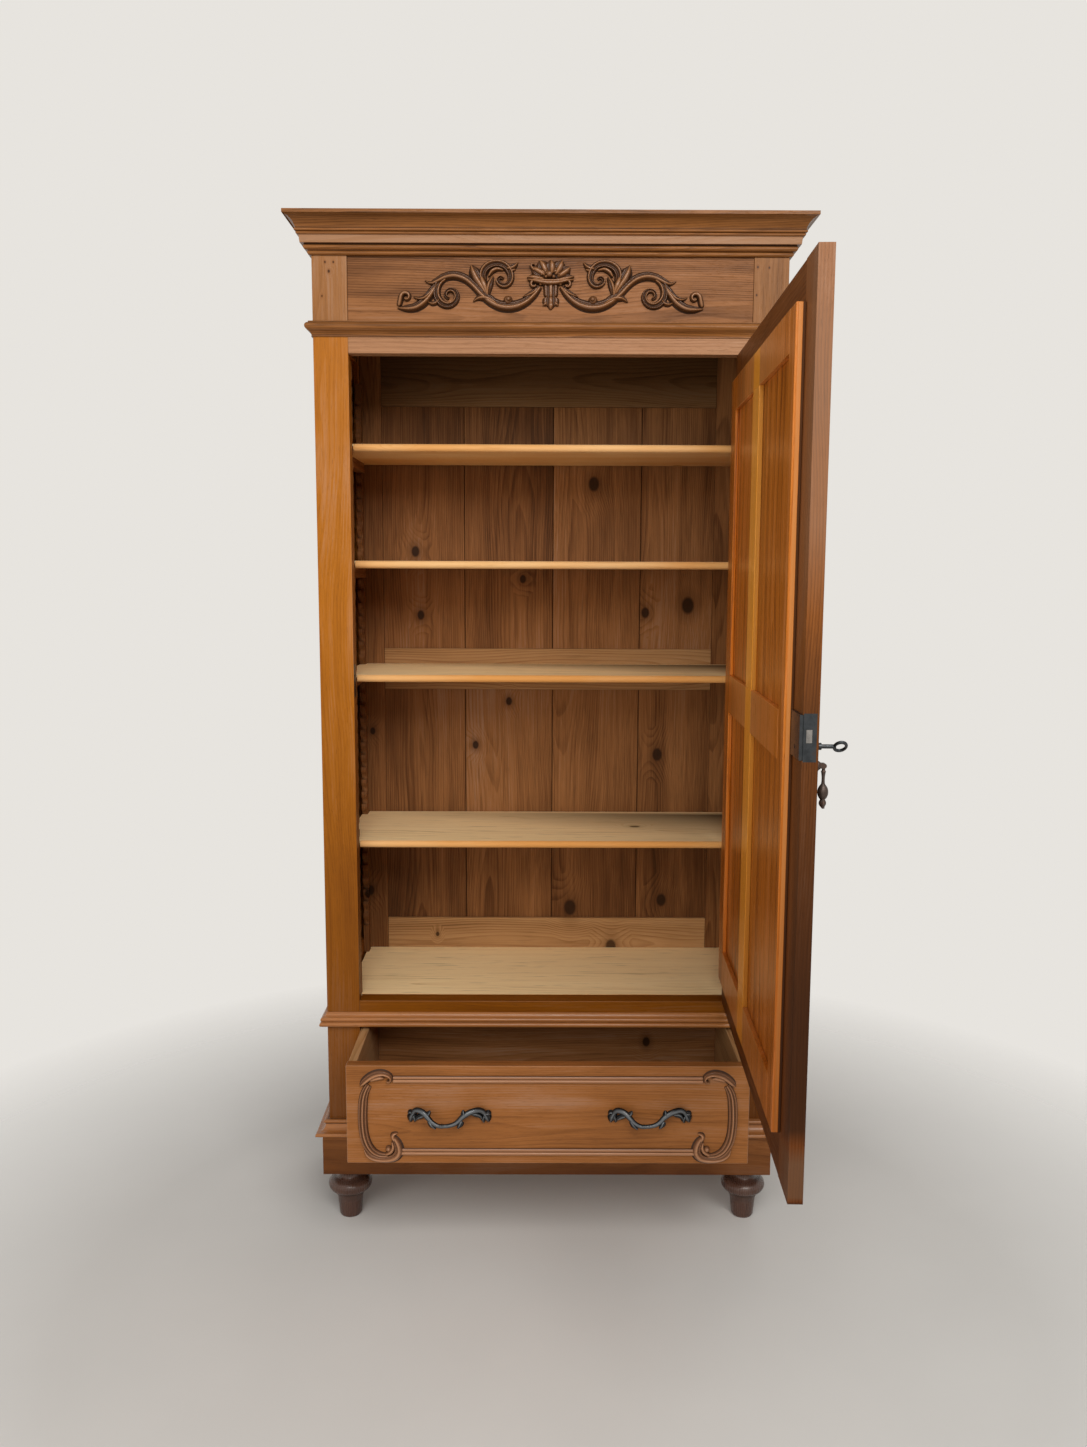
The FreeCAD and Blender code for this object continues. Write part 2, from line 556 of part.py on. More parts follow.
# Barrel hinges: the lower knuckle with the pin belongs to the post, the upper one to the door.
leaf_y = (FRONT - HINGE_PROUD, FRONT + 18)
post_leaves = []
door_leaves = []
for level in HINGE_Z:
    low = (level - KNUCKLE_L, level)
    high = (level + MOVE_FIT, level + KNUCKLE_L)
    fixed = rod(KNUCKLE_R, KNUCKLE_L, (HINGE.x, HINGE.y, low[0]), (0, 0, 1))
    fixed = fixed.fuse(Part.makeSphere(KNUCKLE_R - 1, Vector(HINGE.x, HINGE.y, low[0])))
    moving = rod(KNUCKLE_R, KNUCKLE_L - MOVE_FIT, (HINGE.x, HINGE.y, high[0]), (0, 0, 1))
    moving = moving.fuse(Part.makeSphere(KNUCKLE_R - 1, Vector(HINGE.x, HINGE.y, high[1])))
    leaf = box((OPEN, OPEN + 2), leaf_y, low)
    flap = box((DOOR_X - 2, DOOR_X), leaf_y, high)
    pin = rod(PIN_R, KNUCKLE_L - 8, (HINGE.x, HINGE.y, level - 4), (0, 0, 1))
    bore = rod(PIN_R + PIN_FIT, KNUCKLE_L - 11, (HINGE.x, HINGE.y, level), (0, 0, 1))
    post_leaves.append(fixed.fuse(leaf).fuse(pin))
    door_leaves.append(moving.fuse(flap).cut(bore))
    post_right = post_right.cut(box((OPEN - 1, OPEN + 2), (FRONT - 1, leaf_y[1]), low))
    stile_hinge = stile_hinge.cut(box((DOOR_X - 2, DOOR_X + 1), (FRONT - 1, leaf_y[1]), high))
keep("hinge_leaves_post", post_leaves)
keep("hinge_leaves_door", door_leaves)
keep("post_front_right", post_right)
keep("door_stile_hinge", stile_hinge)

# Lock let into the free stile: case and edge plate in one, with a way for the bolt and room for the key bit.
edge = -DOOR_X
lock_y = (FRONT + 6, DOOR_IN + 4)
case = box((edge + 2, edge + 2 + LOCK_W), lock_y, (LOCK_Z[0] + 2, LOCK_Z[1] - 2))
selvedge = box((edge, edge + 2), (FRONT + 3, DOOR_IN - 1), LOCK_Z)
channel_y = (BOLT_Y - BOLT_T / 2 - MOVE_FIT, BOLT_Y + BOLT_T / 2 + MOVE_FIT)
channel = box((edge - 1, edge + BOLT_L + 6), channel_y, (BOLT_Z[0] - MOVE_FIT, BOLT_Z[1] + MOVE_FIT))
chamber = rod(BIT_R + 0.4, channel_y[1] - channel_y[0], (KEY_X, channel_y[0], KEY_Z), (0, 1, 0))
keyway = rod(KEY_R + MOVE_FIT, 60, (KEY_X, FRONT - 20, KEY_Z), (0, 1, 0))
slot = box((KEY_X - 1.6, KEY_X + 1.6), (FRONT - 20, BOLT_Y), (KEY_Z - BIT_R - 0.4, KEY_Z))
lock = case.fuse(selvedge).removeSplitter()
for hollow in (channel, chamber, keyway, slot):
    lock = lock.cut(hollow)
for h in (LOCK_Z[0] + 7, LOCK_Z[1] - 7):
    lock = lock.cut(Part.makeCone(4, 2, 2, Vector(edge + 50, lock_y[1] - 2, h), Vector(0, -1, 0)))
keep("lock_case", lock)
pocket = box((edge - 1, edge + 2 + LOCK_W), lock_y, (LOCK_Z[0] + 2, LOCK_Z[1] - 2))
for hollow in (pocket, selvedge, keyway, slot):
    stile_lock = stile_lock.cut(hollow)
keep("door_stile_lock", stile_lock)
bolt = box((edge + 0.3, edge + BOLT_L), (BOLT_Y - BOLT_T / 2, BOLT_Y + BOLT_T / 2), BOLT_Z)
keep("lock_bolt", bolt)

# Strike plate and the pocket for the bolt in the left post.
hole_y = (channel_y[0] - 0.7, channel_y[1] + 0.7)
strike_hole = box((edge - BOLT_THROW - 7, edge + 5), hole_y, (BOLT_Z[0] - 1.5, BOLT_Z[1] + 1.5))
strike = box((-OPEN - 2, -OPEN), (FRONT + 3, DOOR_IN + 4), LOCK_Z)
post_left = post_left.cut(strike).cut(strike_hole)
keep("strike_plate", strike.cut(strike_hole))
keep("post_front_left", post_left)

# Keyhole plate, key and its bit.
plate_steps = [(KEY_X - 6, KEY_Z - 10), (KEY_X, KEY_Z - 14, KEY_X + 6, KEY_Z - 10), (KEY_X + 7.5, KEY_Z + 6),
               (KEY_X, KEY_Z + 14, KEY_X - 7.5, KEY_Z + 6)]
plate = prism(plate_steps, lambda x, h: Vector(x, FRONT, h), (0, -1.6, 0))
keep("keyhole_plate", plate.cut(keyway).cut(slot))
shank = rod(KEY_R, 52, (KEY_X, FRONT - 30, KEY_Z), (0, 1, 0))
collar = rod(5, 4, (KEY_X, FRONT - 10, KEY_Z), (0, 1, 0))
bit = box((KEY_X - 1.2, KEY_X + 1.2), (BOLT_Y - 3.6, BOLT_Y + 3.6), (KEY_Z - BIT_R, KEY_Z))
bow_y = FRONT - 36.0
ring = Part.makeTorus(8.5, 2.2, Vector(0, 0, 0), Vector(0, 0, 1))
stretch = FreeCAD.Matrix()
stretch.scale(1.25, 0.95, 1.0)
ring = ring.transformGeometry(stretch)
ring.translate(Vector(KEY_X, bow_y, KEY_Z))
ring.rotate(Vector(KEY_X, bow_y, KEY_Z), Vector(0, 1, 0), 40)
keep("key", fused([shank, collar, bit, ring]))

# Drop pull: a boss with two ears and a pin, and the drop that swings on it.
holder = rod(9, 2.5, (PULL_X, FRONT, PULL_Z), (0, -1, 0))
holder = holder.fuse(Part.makeCone(7.5, 5, 3.5, Vector(PULL_X, FRONT - 2.5, PULL_Z), Vector(0, -1, 0)))
pivot_y = FRONT - 11.0
for side in (-1, 1):
    x = PULL_X + side * 3.6
    ear = box((x - 1, x + 1), (pivot_y, FRONT - 4), (PULL_Z - 3.5, PULL_Z + 3.5))
    holder = holder.fuse(ear).fuse(rod(3.5, 2, (x - 1, pivot_y, PULL_Z), (1, 0, 0)))
holder = holder.fuse(rod(1.5, 8, (PULL_X - 4, pivot_y, PULL_Z), (1, 0, 0)))
keep("pull_boss", holder)
z = PULL_Z
drop_steps = [(0, z - 60), (2.5, z - 57), (5, z - 52, 3.2, z - 47), (7.4, z - 37, 4, z - 27), (2.6, z - 25),
              (2.4, z - 14, 3.4, z - 8), (2.2, z - 6), (2.2, z - 2.6), (0, z - 2.6)]
drop = turned(drop_steps, (PULL_X, pivot_y))
eye = rod(3.4, 4.6, (PULL_X - 2.3, pivot_y, PULL_Z), (1, 0, 0))
tips = []
for side in (-1, 1):
    curl = [(PULL_X, z - 44), (PULL_X + side * 6, z - 50), (PULL_X + side * 7, z - 58)]
    tips.append(ribbon(curl, (6, 6, 1.5), pivot_y + 1.5, 3, 0.6))
drop_bore = rod(1.5 + PIN_FIT, 10, (PULL_X - 5, pivot_y, PULL_Z), (1, 0, 0))
keep("drop_pull", fused([drop, eye] + tips).cut(drop_bore))

# Drawer box. The bottom lies in grooves of the sides and the front.
drawer_end = REAR - DRAWER_SHORT
front = box((-DOOR_X, DOOR_X), (FRONT, FRONT + DRAWER_FRONT_T), (DRAWER_LOW + 3, DRAWER_HIGH - 3))
sides = pair((DOOR_X - DRAWER_SIDE_T - 0.5, DOOR_X - 0.5), (FRONT + DRAWER_FRONT_T, drawer_end),
             (DRAWER_LOW + DRAWER_FIT, DRAWER_HIGH - 7))
drawer_in = DOOR_X - DRAWER_SIDE_T - 0.5
bottom = box((-drawer_in - 6, drawer_in + 6), (FRONT + DRAWER_FRONT_T - 8, drawer_end),
             (DRAWER_LOW + 14, DRAWER_LOW + 22))
members = framed([bottom], [front] + sides)
keep("drawer_front", members[0])
keep("drawer_sides", members[1:])
keep("drawer_bottom", bottom)
back_z = (DRAWER_LOW + 22, DRAWER_HIGH - 22)
keep("drawer_back", box((-drawer_in, drawer_in), (drawer_end - 14, drawer_end), back_z))

# Planted beads along the drawer front, and the C scrolls with their leaves at both ends.
double = [(0, -6.5), (3, -6.5), (6.5, -3.2, 3, 0), (4.8, 3.2, 3, 6.5), (0, 6.5)]
beads = []
for level, half in ((DRAWER_MID + 73, DOOR_X - 92), (DRAWER_MID - 74.5, DOOR_X - 105)):
    beads.append(prism(double, lambda p, h: Vector(-half, FRONT - p, level + h), (2 * half, 0, 0)))
keep("drawer_beads", beads)


def planted(path, widths, height):
    """A carved band on the drawer, from its left end and the middle of its height."""
    return ribbon([(d - DOOR_X, DRAWER_MID + h) for d, h in path], widths, FRONT, height)


c_band = [(49.5, 72.5), (28.5, 33.5), (25, 0.5), (34.5, -43.5), (55.5, -73.5), (78.5, -83)]
leaf_top = [(26.5, 61.5), (37.5, 73.5), (51.6, 83.1), (69.5, 85.5), (82.5, 76.5), (79.5, 69)]
leaf_low = [(35.5, -76.5), (48.5, -87.5), (73.5, -91), (90.5, -84.5), (96.5, -66.5), (90.5, -47.5),
            (86.5, -38.5), (93.5, -36.5)]
c_scroll = fused([
    planted(c_band, (10, 13, 13, 13, 12, 9), 8),
    planted(leaf_top, (3, 11, 13, 12, 9, 5), 9),
    planted(leaf_low, (3, 10, 13, 13, 12, 10, 8, 4), 9.5),
    boss(78.5 - DOOR_X, DRAWER_MID - 74.5, 6.5, FRONT, 8.5),
])
keep("drawer_scrolls", [c_scroll, mirrored(c_scroll)])


def bow_pull(x0):
    """A cast pull: a bow that dips at its collar, with leaves on it and a leaf foot at each end."""
    bend = [(-66, 6, -1.5), (-54, 16, 15.5), (-34, 25, 3.5), (-14, 28, -10), (8, 27, 1.5), (34, 19, 16.5),
            (68, 6, -3.5)]
    path = [Vector(x0 + u, FRONT - out, DRAWER_MID + h) for u, out, h in bend]
    wire = Part.Wire([spline(path).toShape()])
    section = Part.Wire([Part.makeCircle(4.2, path[0], path[1] - path[0])])
    bow = wire.makePipeShell([section], True, True)
    leaves = (
        ([(-60, 10.5), (-68, -3.5), (-75, -14.5)], (8, 14, 3), 0, 8),
        ([(62, 9.5), (70, -3.5), (76, -14.5)], (8, 14, 3), 0, 8),
        ([(-42, 8.5), (-39, 15.5), (-36, 23.5)], (8, 8, 1.5), 18, 7),
        ([(24, 11.5), (27, 17.5), (28, 24.5)], (8, 8, 1.5), 18, 7),
    )
    extras = []
    for at, widths, out, thick in leaves:
        extras.append(ribbon([(x0 + u, DRAWER_MID + h) for u, h in at], widths, FRONT - out, thick))
    for radius, length in ((6.5, 7), (5.3, 13)):
        extras.append(rod(radius, length, (x0 - 14 - length / 2, FRONT - 28, DRAWER_MID - 10), (1, 0, 0)))
    return fused([bow] + extras)


# Cast bow pulls of the drawer.
keep("drawer_pulls", [bow_pull(share * DOOR_X) for share in PULL_AT])

# The door stands open and the drawer pulled out. The origin then moves along Y on the floor, to the middle of all
# that the open cupboard covers.
DOOR_NODES = ("door_stile_hinge", "door_stile_lock", "door_rail_top", "door_rail_low", "mirror",
              "mirror_moulding", "backing_stiles", "backing_rails", "backing_muntins", "backing_panels",
              "hinge_leaves_door", "lock_case", "lock_bolt", "keyhole_plate", "key", "pull_boss", "drop_pull")
DRAWER_NODES = ("drawer_front", "drawer_sides", "drawer_bottom", "drawer_back", "drawer_beads",
                "drawer_scrolls", "drawer_pulls")
for name, shapes in nodes.items():
    for shape in shapes:
        if name in DOOR_NODES:
            shape.rotate(HINGE, Vector(0, 0, 1), DOOR_ANGLE)
        if name in DRAWER_NODES:
            shape.translate(Vector(0, -DRAWER_OUT, 0))
boxes = [shape.optimalBoundingBox() for shapes in nodes.values() for shape in shapes]
middle = (min(b.YMin for b in boxes) + max(b.YMax for b in boxes)) / 2
for name, shapes in nodes.items():
    for shape in shapes:
        shape.translate(Vector(0, -middle, 0))
    solid = shapes[0] if len(shapes) == 1 else Part.makeCompound(shapes)
    solid.exportStep("parts/%s.step" % name)
    print(name, len(shapes), [len(s.Solids) for s in shapes], all(s.isValid() for s in shapes))
print(len(nodes), "nodes, middle", middle)
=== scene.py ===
import json
import math
import random
from functools import partial

import bmesh
import bpy
from bpy.props import FloatProperty, FloatVectorProperty, PointerProperty
from mathutils import Matrix, Vector


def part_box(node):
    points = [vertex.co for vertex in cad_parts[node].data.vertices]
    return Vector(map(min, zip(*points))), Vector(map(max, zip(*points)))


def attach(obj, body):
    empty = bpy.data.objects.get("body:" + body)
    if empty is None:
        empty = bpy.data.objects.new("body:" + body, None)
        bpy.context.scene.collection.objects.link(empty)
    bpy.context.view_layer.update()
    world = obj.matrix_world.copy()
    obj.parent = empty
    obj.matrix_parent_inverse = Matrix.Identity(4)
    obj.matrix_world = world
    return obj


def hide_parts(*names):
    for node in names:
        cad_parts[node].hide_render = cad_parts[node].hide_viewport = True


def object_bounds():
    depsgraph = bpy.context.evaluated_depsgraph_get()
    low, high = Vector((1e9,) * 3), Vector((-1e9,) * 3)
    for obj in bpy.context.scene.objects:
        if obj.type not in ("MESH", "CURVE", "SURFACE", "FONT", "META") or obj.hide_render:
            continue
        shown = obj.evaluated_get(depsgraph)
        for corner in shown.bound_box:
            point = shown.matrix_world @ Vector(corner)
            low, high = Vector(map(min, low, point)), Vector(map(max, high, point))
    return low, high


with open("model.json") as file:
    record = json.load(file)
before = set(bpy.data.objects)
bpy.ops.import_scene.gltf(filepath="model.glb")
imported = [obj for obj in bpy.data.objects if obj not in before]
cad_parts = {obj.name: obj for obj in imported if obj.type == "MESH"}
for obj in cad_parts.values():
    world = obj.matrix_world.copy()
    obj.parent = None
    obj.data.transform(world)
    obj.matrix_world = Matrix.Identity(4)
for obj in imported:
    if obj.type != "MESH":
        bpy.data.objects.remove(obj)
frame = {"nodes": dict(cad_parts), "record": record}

bl_info = {
    "name": "Linen cupboard",
    "version": (1, 0, 0),
    "blender": (4, 5, 0),
    "location": "View3D > Sidebar > Cupboard",
    "description": "Dresses the frame of a walnut linen cupboard with wood, carving and iron",
    "category": "Object",
}

MM = 0.001
DOOR_TURN = math.radians(88.0)
CAD_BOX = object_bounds()
NODES = frame["nodes"]
BODIES = frame["record"]["behaviour"]["bodies"]
BODY_OF = {node: body for body, members in BODIES.items() for node in members}
FINISHES = {}


# Settings that a user would change.


def shade(name, description, default):
    """A colour setting, in linear light."""
    return FloatVectorProperty(name=name, description=description, default=default, subtype="COLOR", min=0,
                               max=1)


def early(wood_name, default):
    """The colour of a wood's early growth, which is the lighter one."""
    return shade(wood_name + ", light", "Early growth of the " + wood_name.lower(), default)


def late(wood_name, default):
    """The colour of a wood's late growth, which is the darker one."""
    return shade(wood_name + ", dark", "Late growth of the " + wood_name.lower(), default)


def worn_and_highlight(wood_name, default):
    """The colour of a wood where hands and cloths have rubbed it, which on carving, beads and the door
    backing also stands for a painted highlight.
    """
    return shade(wood_name + ", rubbed", "Rubbed edges of the " + wood_name.lower(), default)


def size(name, description, default):
    """A length setting in metres."""
    return FloatProperty(name=name, description=description, default=default, unit="LENGTH", min=0,
                         precision=4)


def power(name, description, default):
    """The power of a lamp in watts."""
    return FloatProperty(name=name, description=description, default=default, unit="POWER", min=0)


def angle(name, description, degrees):
    """An angle setting."""
    return FloatProperty(name=name, description=description, default=math.radians(degrees), subtype="ANGLE")


class CupboardWoods(bpy.types.PropertyGroup):
    """Colours of the woods."""

    walnut_light: early("Frieze board", (0.295, 0.121, 0.042))
    walnut_dark: late("Frieze board", (0.098, 0.035, 0.010))
    cornice_light: early("Cornice", (0.27, 0.105, 0.028))
    cornice_dark: late("Cornice", (0.10, 0.035, 0.008))
    front_light: early("Drawer front", (0.31, 0.116, 0.031))
    front_dark: late("Drawer front", (0.145, 0.049, 0.012))
    bead_light: early("Lower mouldings", (0.37, 0.143, 0.040))
    bead_dark: late("Lower mouldings", (0.215, 0.077, 0.021))
    head_light: early("Head rail", (0.39, 0.19, 0.090))
    head_dark: late("Head rail", (0.24, 0.106, 0.043))
    post_light: early("Posts", (0.41, 0.136, 0.008))
    post_dark: late("Posts", (0.225, 0.064, 0.003))
    block_light: early("Post heads", (0.30, 0.124, 0.036))
    block_dark: late("Post heads", (0.135, 0.051, 0.013))
    deep_light: early("Door frame", (0.24, 0.080, 0.017))
    deep_dark: late("Door frame", (0.105, 0.031, 0.006))
    deep_edge: worn_and_highlight("Door frame", (0.26, 0.172, 0.12))
    backing_light: early("Door backing", (0.62, 0.185, 0.017))
    backing_dark: late("Door backing", (0.23, 0.056, 0.005))
    # Bright strip on the free edge of the backing: rubbing, and a painted highlight.
    backing_edge: worn_and_highlight("Door backing", (0.66, 0.265, 0.075))
    muntin_light: early("Golden strip", (0.98, 0.40, 0.045))
    muntin_dark: late("Golden strip", (0.92, 0.35, 0.033))
    pine_light: early("Shelves", (1.0, 0.775, 0.44))
    pine_dark: late("Shelves", (0.90, 0.66, 0.35))
    pine_edge: worn_and_highlight("Shelves", (0.70, 0.31, 0.08))
    rail_light: early("Back rails", (0.43, 0.235, 0.098))
    rail_dark: late("Back rails", (0.265, 0.126, 0.047))
    back_light: early("Back boards", (0.29, 0.125, 0.043))
    back_dark: late("Back boards", (0.13, 0.050, 0.016))
    foot_light: early("Feet", (0.085, 0.038, 0.025))
    foot_dark: late("Feet", (0.035, 0.015, 0.010))
    carved_light: early("Frieze carving", (0.105, 0.041, 0.014))
    carved_dark: late("Frieze carving", (0.046, 0.017, 0.006))
    # Crest colour of the carving: rubbing, and a painted highlight.
    carved_edge: worn_and_highlight("Frieze carving", (0.46, 0.21, 0.085))
    scroll_light: early("Drawer scrolls", (0.20, 0.086, 0.038))
    scroll_dark: late("Drawer scrolls", (0.085, 0.033, 0.014))
    # Crest colour of the drawer scrolls and beads: rubbing, and a painted highlight.
    scroll_edge: worn_and_highlight("Drawer scrolls", (0.50, 0.235, 0.108))
    # Dark colour of hollows, creases and grooves: dirt, and painted shade.
    dirt_and_shade: shade("Grime", "Wax and dirt in hollows", (0.022, 0.009, 0.004))


class CupboardMetals(bpy.types.PropertyGroup):
    """Colours of the fittings and the mirror."""

    iron: shade("Iron", "Cast and forged iron", (0.06, 0.066, 0.072))
    rust: shade("Rust", "Brown bloom on the iron", (0.075, 0.052, 0.042))
    steel: shade("Steel", "Bolt of the lock", (0.33, 0.31, 0.29))
    silver: shade("Mirror", "Silvering of the mirror", (0.84, 0.86, 0.86))


class CupboardSizes(bpy.types.PropertyGroup):
    """Small sizes of the finish."""

    board_edge: size("Board edge", "Width of the eased edges of boards", 0.0016)
    thin_edge: size("Thin edge", "Width of the eased edges of mouldings and thin boards", 0.0007)
    shelf_rub: size("Shelf rub", "Depth of the rubbed strip at the front of a shelf", 0.005)
    carving_step: size("Carving step", "Length of the steps along a carved band", 0.005)
    scroll_relief: size("Scroll relief", "Height of the scrolls above the frieze", 0.013)
    flower_relief: size("Flower relief", "Height of the flowers above the frieze", 0.016)
    drawer_relief: size("Drawer relief", "Height of the scrolls above the drawer front", 0.011)
    bow: size("Bow", "Thickness of the cast bow of a drawer pull", 0.0115)


class CupboardStage(bpy.types.PropertyGroup):
    """Floor, light and camera."""

    floor: shade("Floor", "Colour of the floor", (0.76, 0.75, 0.735))
    backdrop: shade("Backdrop", "Colour behind the cupboard", (0.80, 0.775, 0.735))
    sky: FloatProperty(name="Sky", description="Strength of the light from all round", default=0.13, min=0)
    key: power("Key lamp", "Power of the high lamp", 84.0)
    fill: power("Fill lamp", "Power of the broad lamp in front", 44.0)
    back: power("Back lamp", "Power of the broad lamp behind", 34.0)
    eye: FloatVectorProperty(name="Camera place", description="Where the camera stands",
                             subtype="TRANSLATION", unit="LENGTH", default=(-0.01756, -2.13208, 1.379))
    heading: angle("Heading", "Turn of the camera to the right", 0.1723)
    tilt: angle("Tilt", "Tilt of the camera down", 7.4412)
    roll: angle("Roll", "Lean of the camera", 0.2095)
    lens: FloatProperty(name="Lens", description="Focal length in millimetres", default=28.904, min=1)


class CupboardSettings(bpy.types.PropertyGroup):
    """All settings of the cupboard."""

    woods: PointerProperty(type=CupboardWoods)
    metals: PointerProperty(type=CupboardMetals)
    sizes: PointerProperty(type=CupboardSizes)
    stage: PointerProperty(type=CupboardStage)


# Materials.


class Nodes:
    """A node tree, with short calls that add nodes and join them."""

    def __init__(self, tree):
        self.tree = tree

    def put(self, kind, inputs, out=0, **settings):
        """Adds a node, fills its inputs with values or links, and gives one of its outputs."""
        node = self.tree.nodes.new("ShaderNode" + kind)
        for key, value in settings.items():
            setattr(node, key, value)
        for key, value in inputs.items():
            self.feed(node.inputs[key], value)
        return node.outputs[out]

    def feed(self, socket, value):
        """Sets a socket to a value, or joins it to another node's output."""
        if isinstance(value, bpy.types.NodeSocket):
            self.tree.links.new(value, socket)
        else:
            socket.default_value = value

    def math(self, operation, a, b=0.0):
        """One sum."""
        return self.put("Math", {0: a, 1: b}, operation=operation)

    def scaled(self, value, factor, more):
        """A value times a factor, plus another value."""
        return self.put("Math", {0: value, 1: factor, 2: more}, operation="MULTIPLY_ADD")


class Finish(Nodes):
    """A material made of procedural nodes."""

    def __init__(self, name):
        self.material = bpy.data.materials.new(name)
        self.material.use_nodes = True
        super().__init__(self.material.node_tree)
        self.shader = self.tree.nodes["Principled BSDF"]

    def attribute(self, name, out):
        """A value that the mesh carries."""
        return self.put("Attribute", {}, out, attribute_name=name)

    def place(self):
        """The place on the object."""
        return self.put("TexCoord", {}, "Object")

    def stretch(self, vector, factors):
        """Scales a place differently along each direction."""
        return self.put("VectorMath", {0: vector, 1: factors}, operation="MULTIPLY")

    def length(self, vector):
        """How far a place lies from the origin."""
        return self.put("VectorMath", {0: vector}, "Value", operation="LENGTH")

    def noise(self, vector, detail=2.0, rough=0.5, scale=1.0, out=0):
        """Soft random clouds."""
        inputs = {"Vector": vector, "Scale": scale, "Detail": detail, "Roughness": rough}
        return self.put("TexNoise", inputs, out)

    def span(self, value, low, high, to_low=0.0, to_high=1.0):
        """Maps a range of values to another and holds it there."""
        return self.put("MapRange", {0: value, 1: low, 2: high, 3: to_low, 4: to_high})

    def ramp(self, value, stops):
        """Colours along a value."""
        node = self.tree.nodes.new("ShaderNodeValToRGB")
        elements = node.color_ramp.elements
        while len(elements) < len(stops):
            elements.new(1.0)
        for element, (place, colour) in zip(elements, stops):
            element.position = place
            element.color = solid(colour)
        self.tree.links.new(value, node.inputs[0])
        return node.outputs[0]

    def mix(self, factor, a, b, kind="MIX"):
        """Two colours laid over each other."""
        return self.put("Mix", {0: factor, 6: a, 7: b}, 2, data_type="RGBA", blend_type=kind)

    def surface(self, **inputs):
        """Joins or sets the shader's own sockets."""
        for key, value in inputs.items():
            self.feed(self.shader.inputs[key.replace("_", " ")], value)

    def relief(self, height, strength, distance):
        """Small bumps on the surface."""
        bump = self.put("Bump", {"Strength": strength, "Distance": distance, "Height": height})
        self.surface(Normal=bump)


BLACK = (0, 0, 0)


def solid(colour):
    """A colour of three numbers, or one grey, with full alpha."""
    if isinstance(colour, float):
        return (colour, colour, colour, 1.0)
    return (*colour[:3], 1.0)


def between(a, b, share):
    """A colour on the way from one to another."""
    return tuple(x + (y - x) * share for x, y in zip(a, b))


def darker(colour, share):
    """A colour with a share of black, with full alpha."""
    return solid(between(colour, BLACK, share))


def placed_knots(places):
    """Gives a call that tells how far a point is from the nearest of some knots, in knot radii.

    A place is the distance to the right, the height and the radius, in metres.
    """
    upright = 0.72

    def distance(f, grain):
        spot = f.place()
        nearest = None
        for x, z, radius in places:
            gap = f.put("VectorMath", {0: spot, 1: (x, 0.0, z)}, operation="SUBTRACT")
            away = f.length(f.stretch(gap, (1.0 / radius, 0.0, upright / radius)))
            nearest = away if nearest is None else f.math("MINIMUM", nearest, away)
        return nearest

    return distance


def loose_knots(radius, share):
    """Gives a call that scatters knots over a share of the cells of a board."""
    cells = (3.6, 5.0, 0.0)
    far = 60.0

    def distance(f, grain):
        cell = f.tree.nodes.new("ShaderNodeTexVoronoi")
        cell.voronoi_dimensions = "2D"
        cell.inputs["Scale"].default_value = 1.0
        f.feed(cell.inputs["Vector"], f.stretch(grain, cells))
        chance = f.put("SeparateColor", {0: cell.outputs["Color"]})
        absent = f.math("GREATER_THAN", chance, share)
        away = f.math("MULTIPLY", cell.outputs["Distance"], 1.0 / (cells[1] * radius))
        return f.scaled(absent, far, away)

    return distance


# How often the marks of a wood come along and across its grain, per metre.
DRIFT = (1.3, 4.0, 4.0)
WOBBLE = (2.5, 24.0, 24.0)
BANDS = (0.7, 34.0, 34.0)
FIBRES = (7.0, 380.0, 380.0)
PORES = (45.0, 1300.0, 1300.0)
CLOUDS = (2.4, 6.5, 6.5)
STROKES = (11.0, 150.0, 150.0)
# How far the rings sway, in metres, and wobble, in rings; and how dark a ring is from its start to its end.
SWAY = 0.055
RING_WOBBLE = 2.2
RING_SHADES = [(0.0, 0.0), (0.5, 0.22), (0.84, 1.0), (0.94, 0.9), (1.0, 0.0)]
# How much one step of a board's tone darkens it.
TONE_STEP = 0.10


def growth_colours(kind):
    """The light and the dark colour of a wood in the settings."""
    woods = bpy.context.scene.cupboard.woods
    return tuple(getattr(woods, kind + "_light")), tuple(getattr(woods, kind + "_dark"))


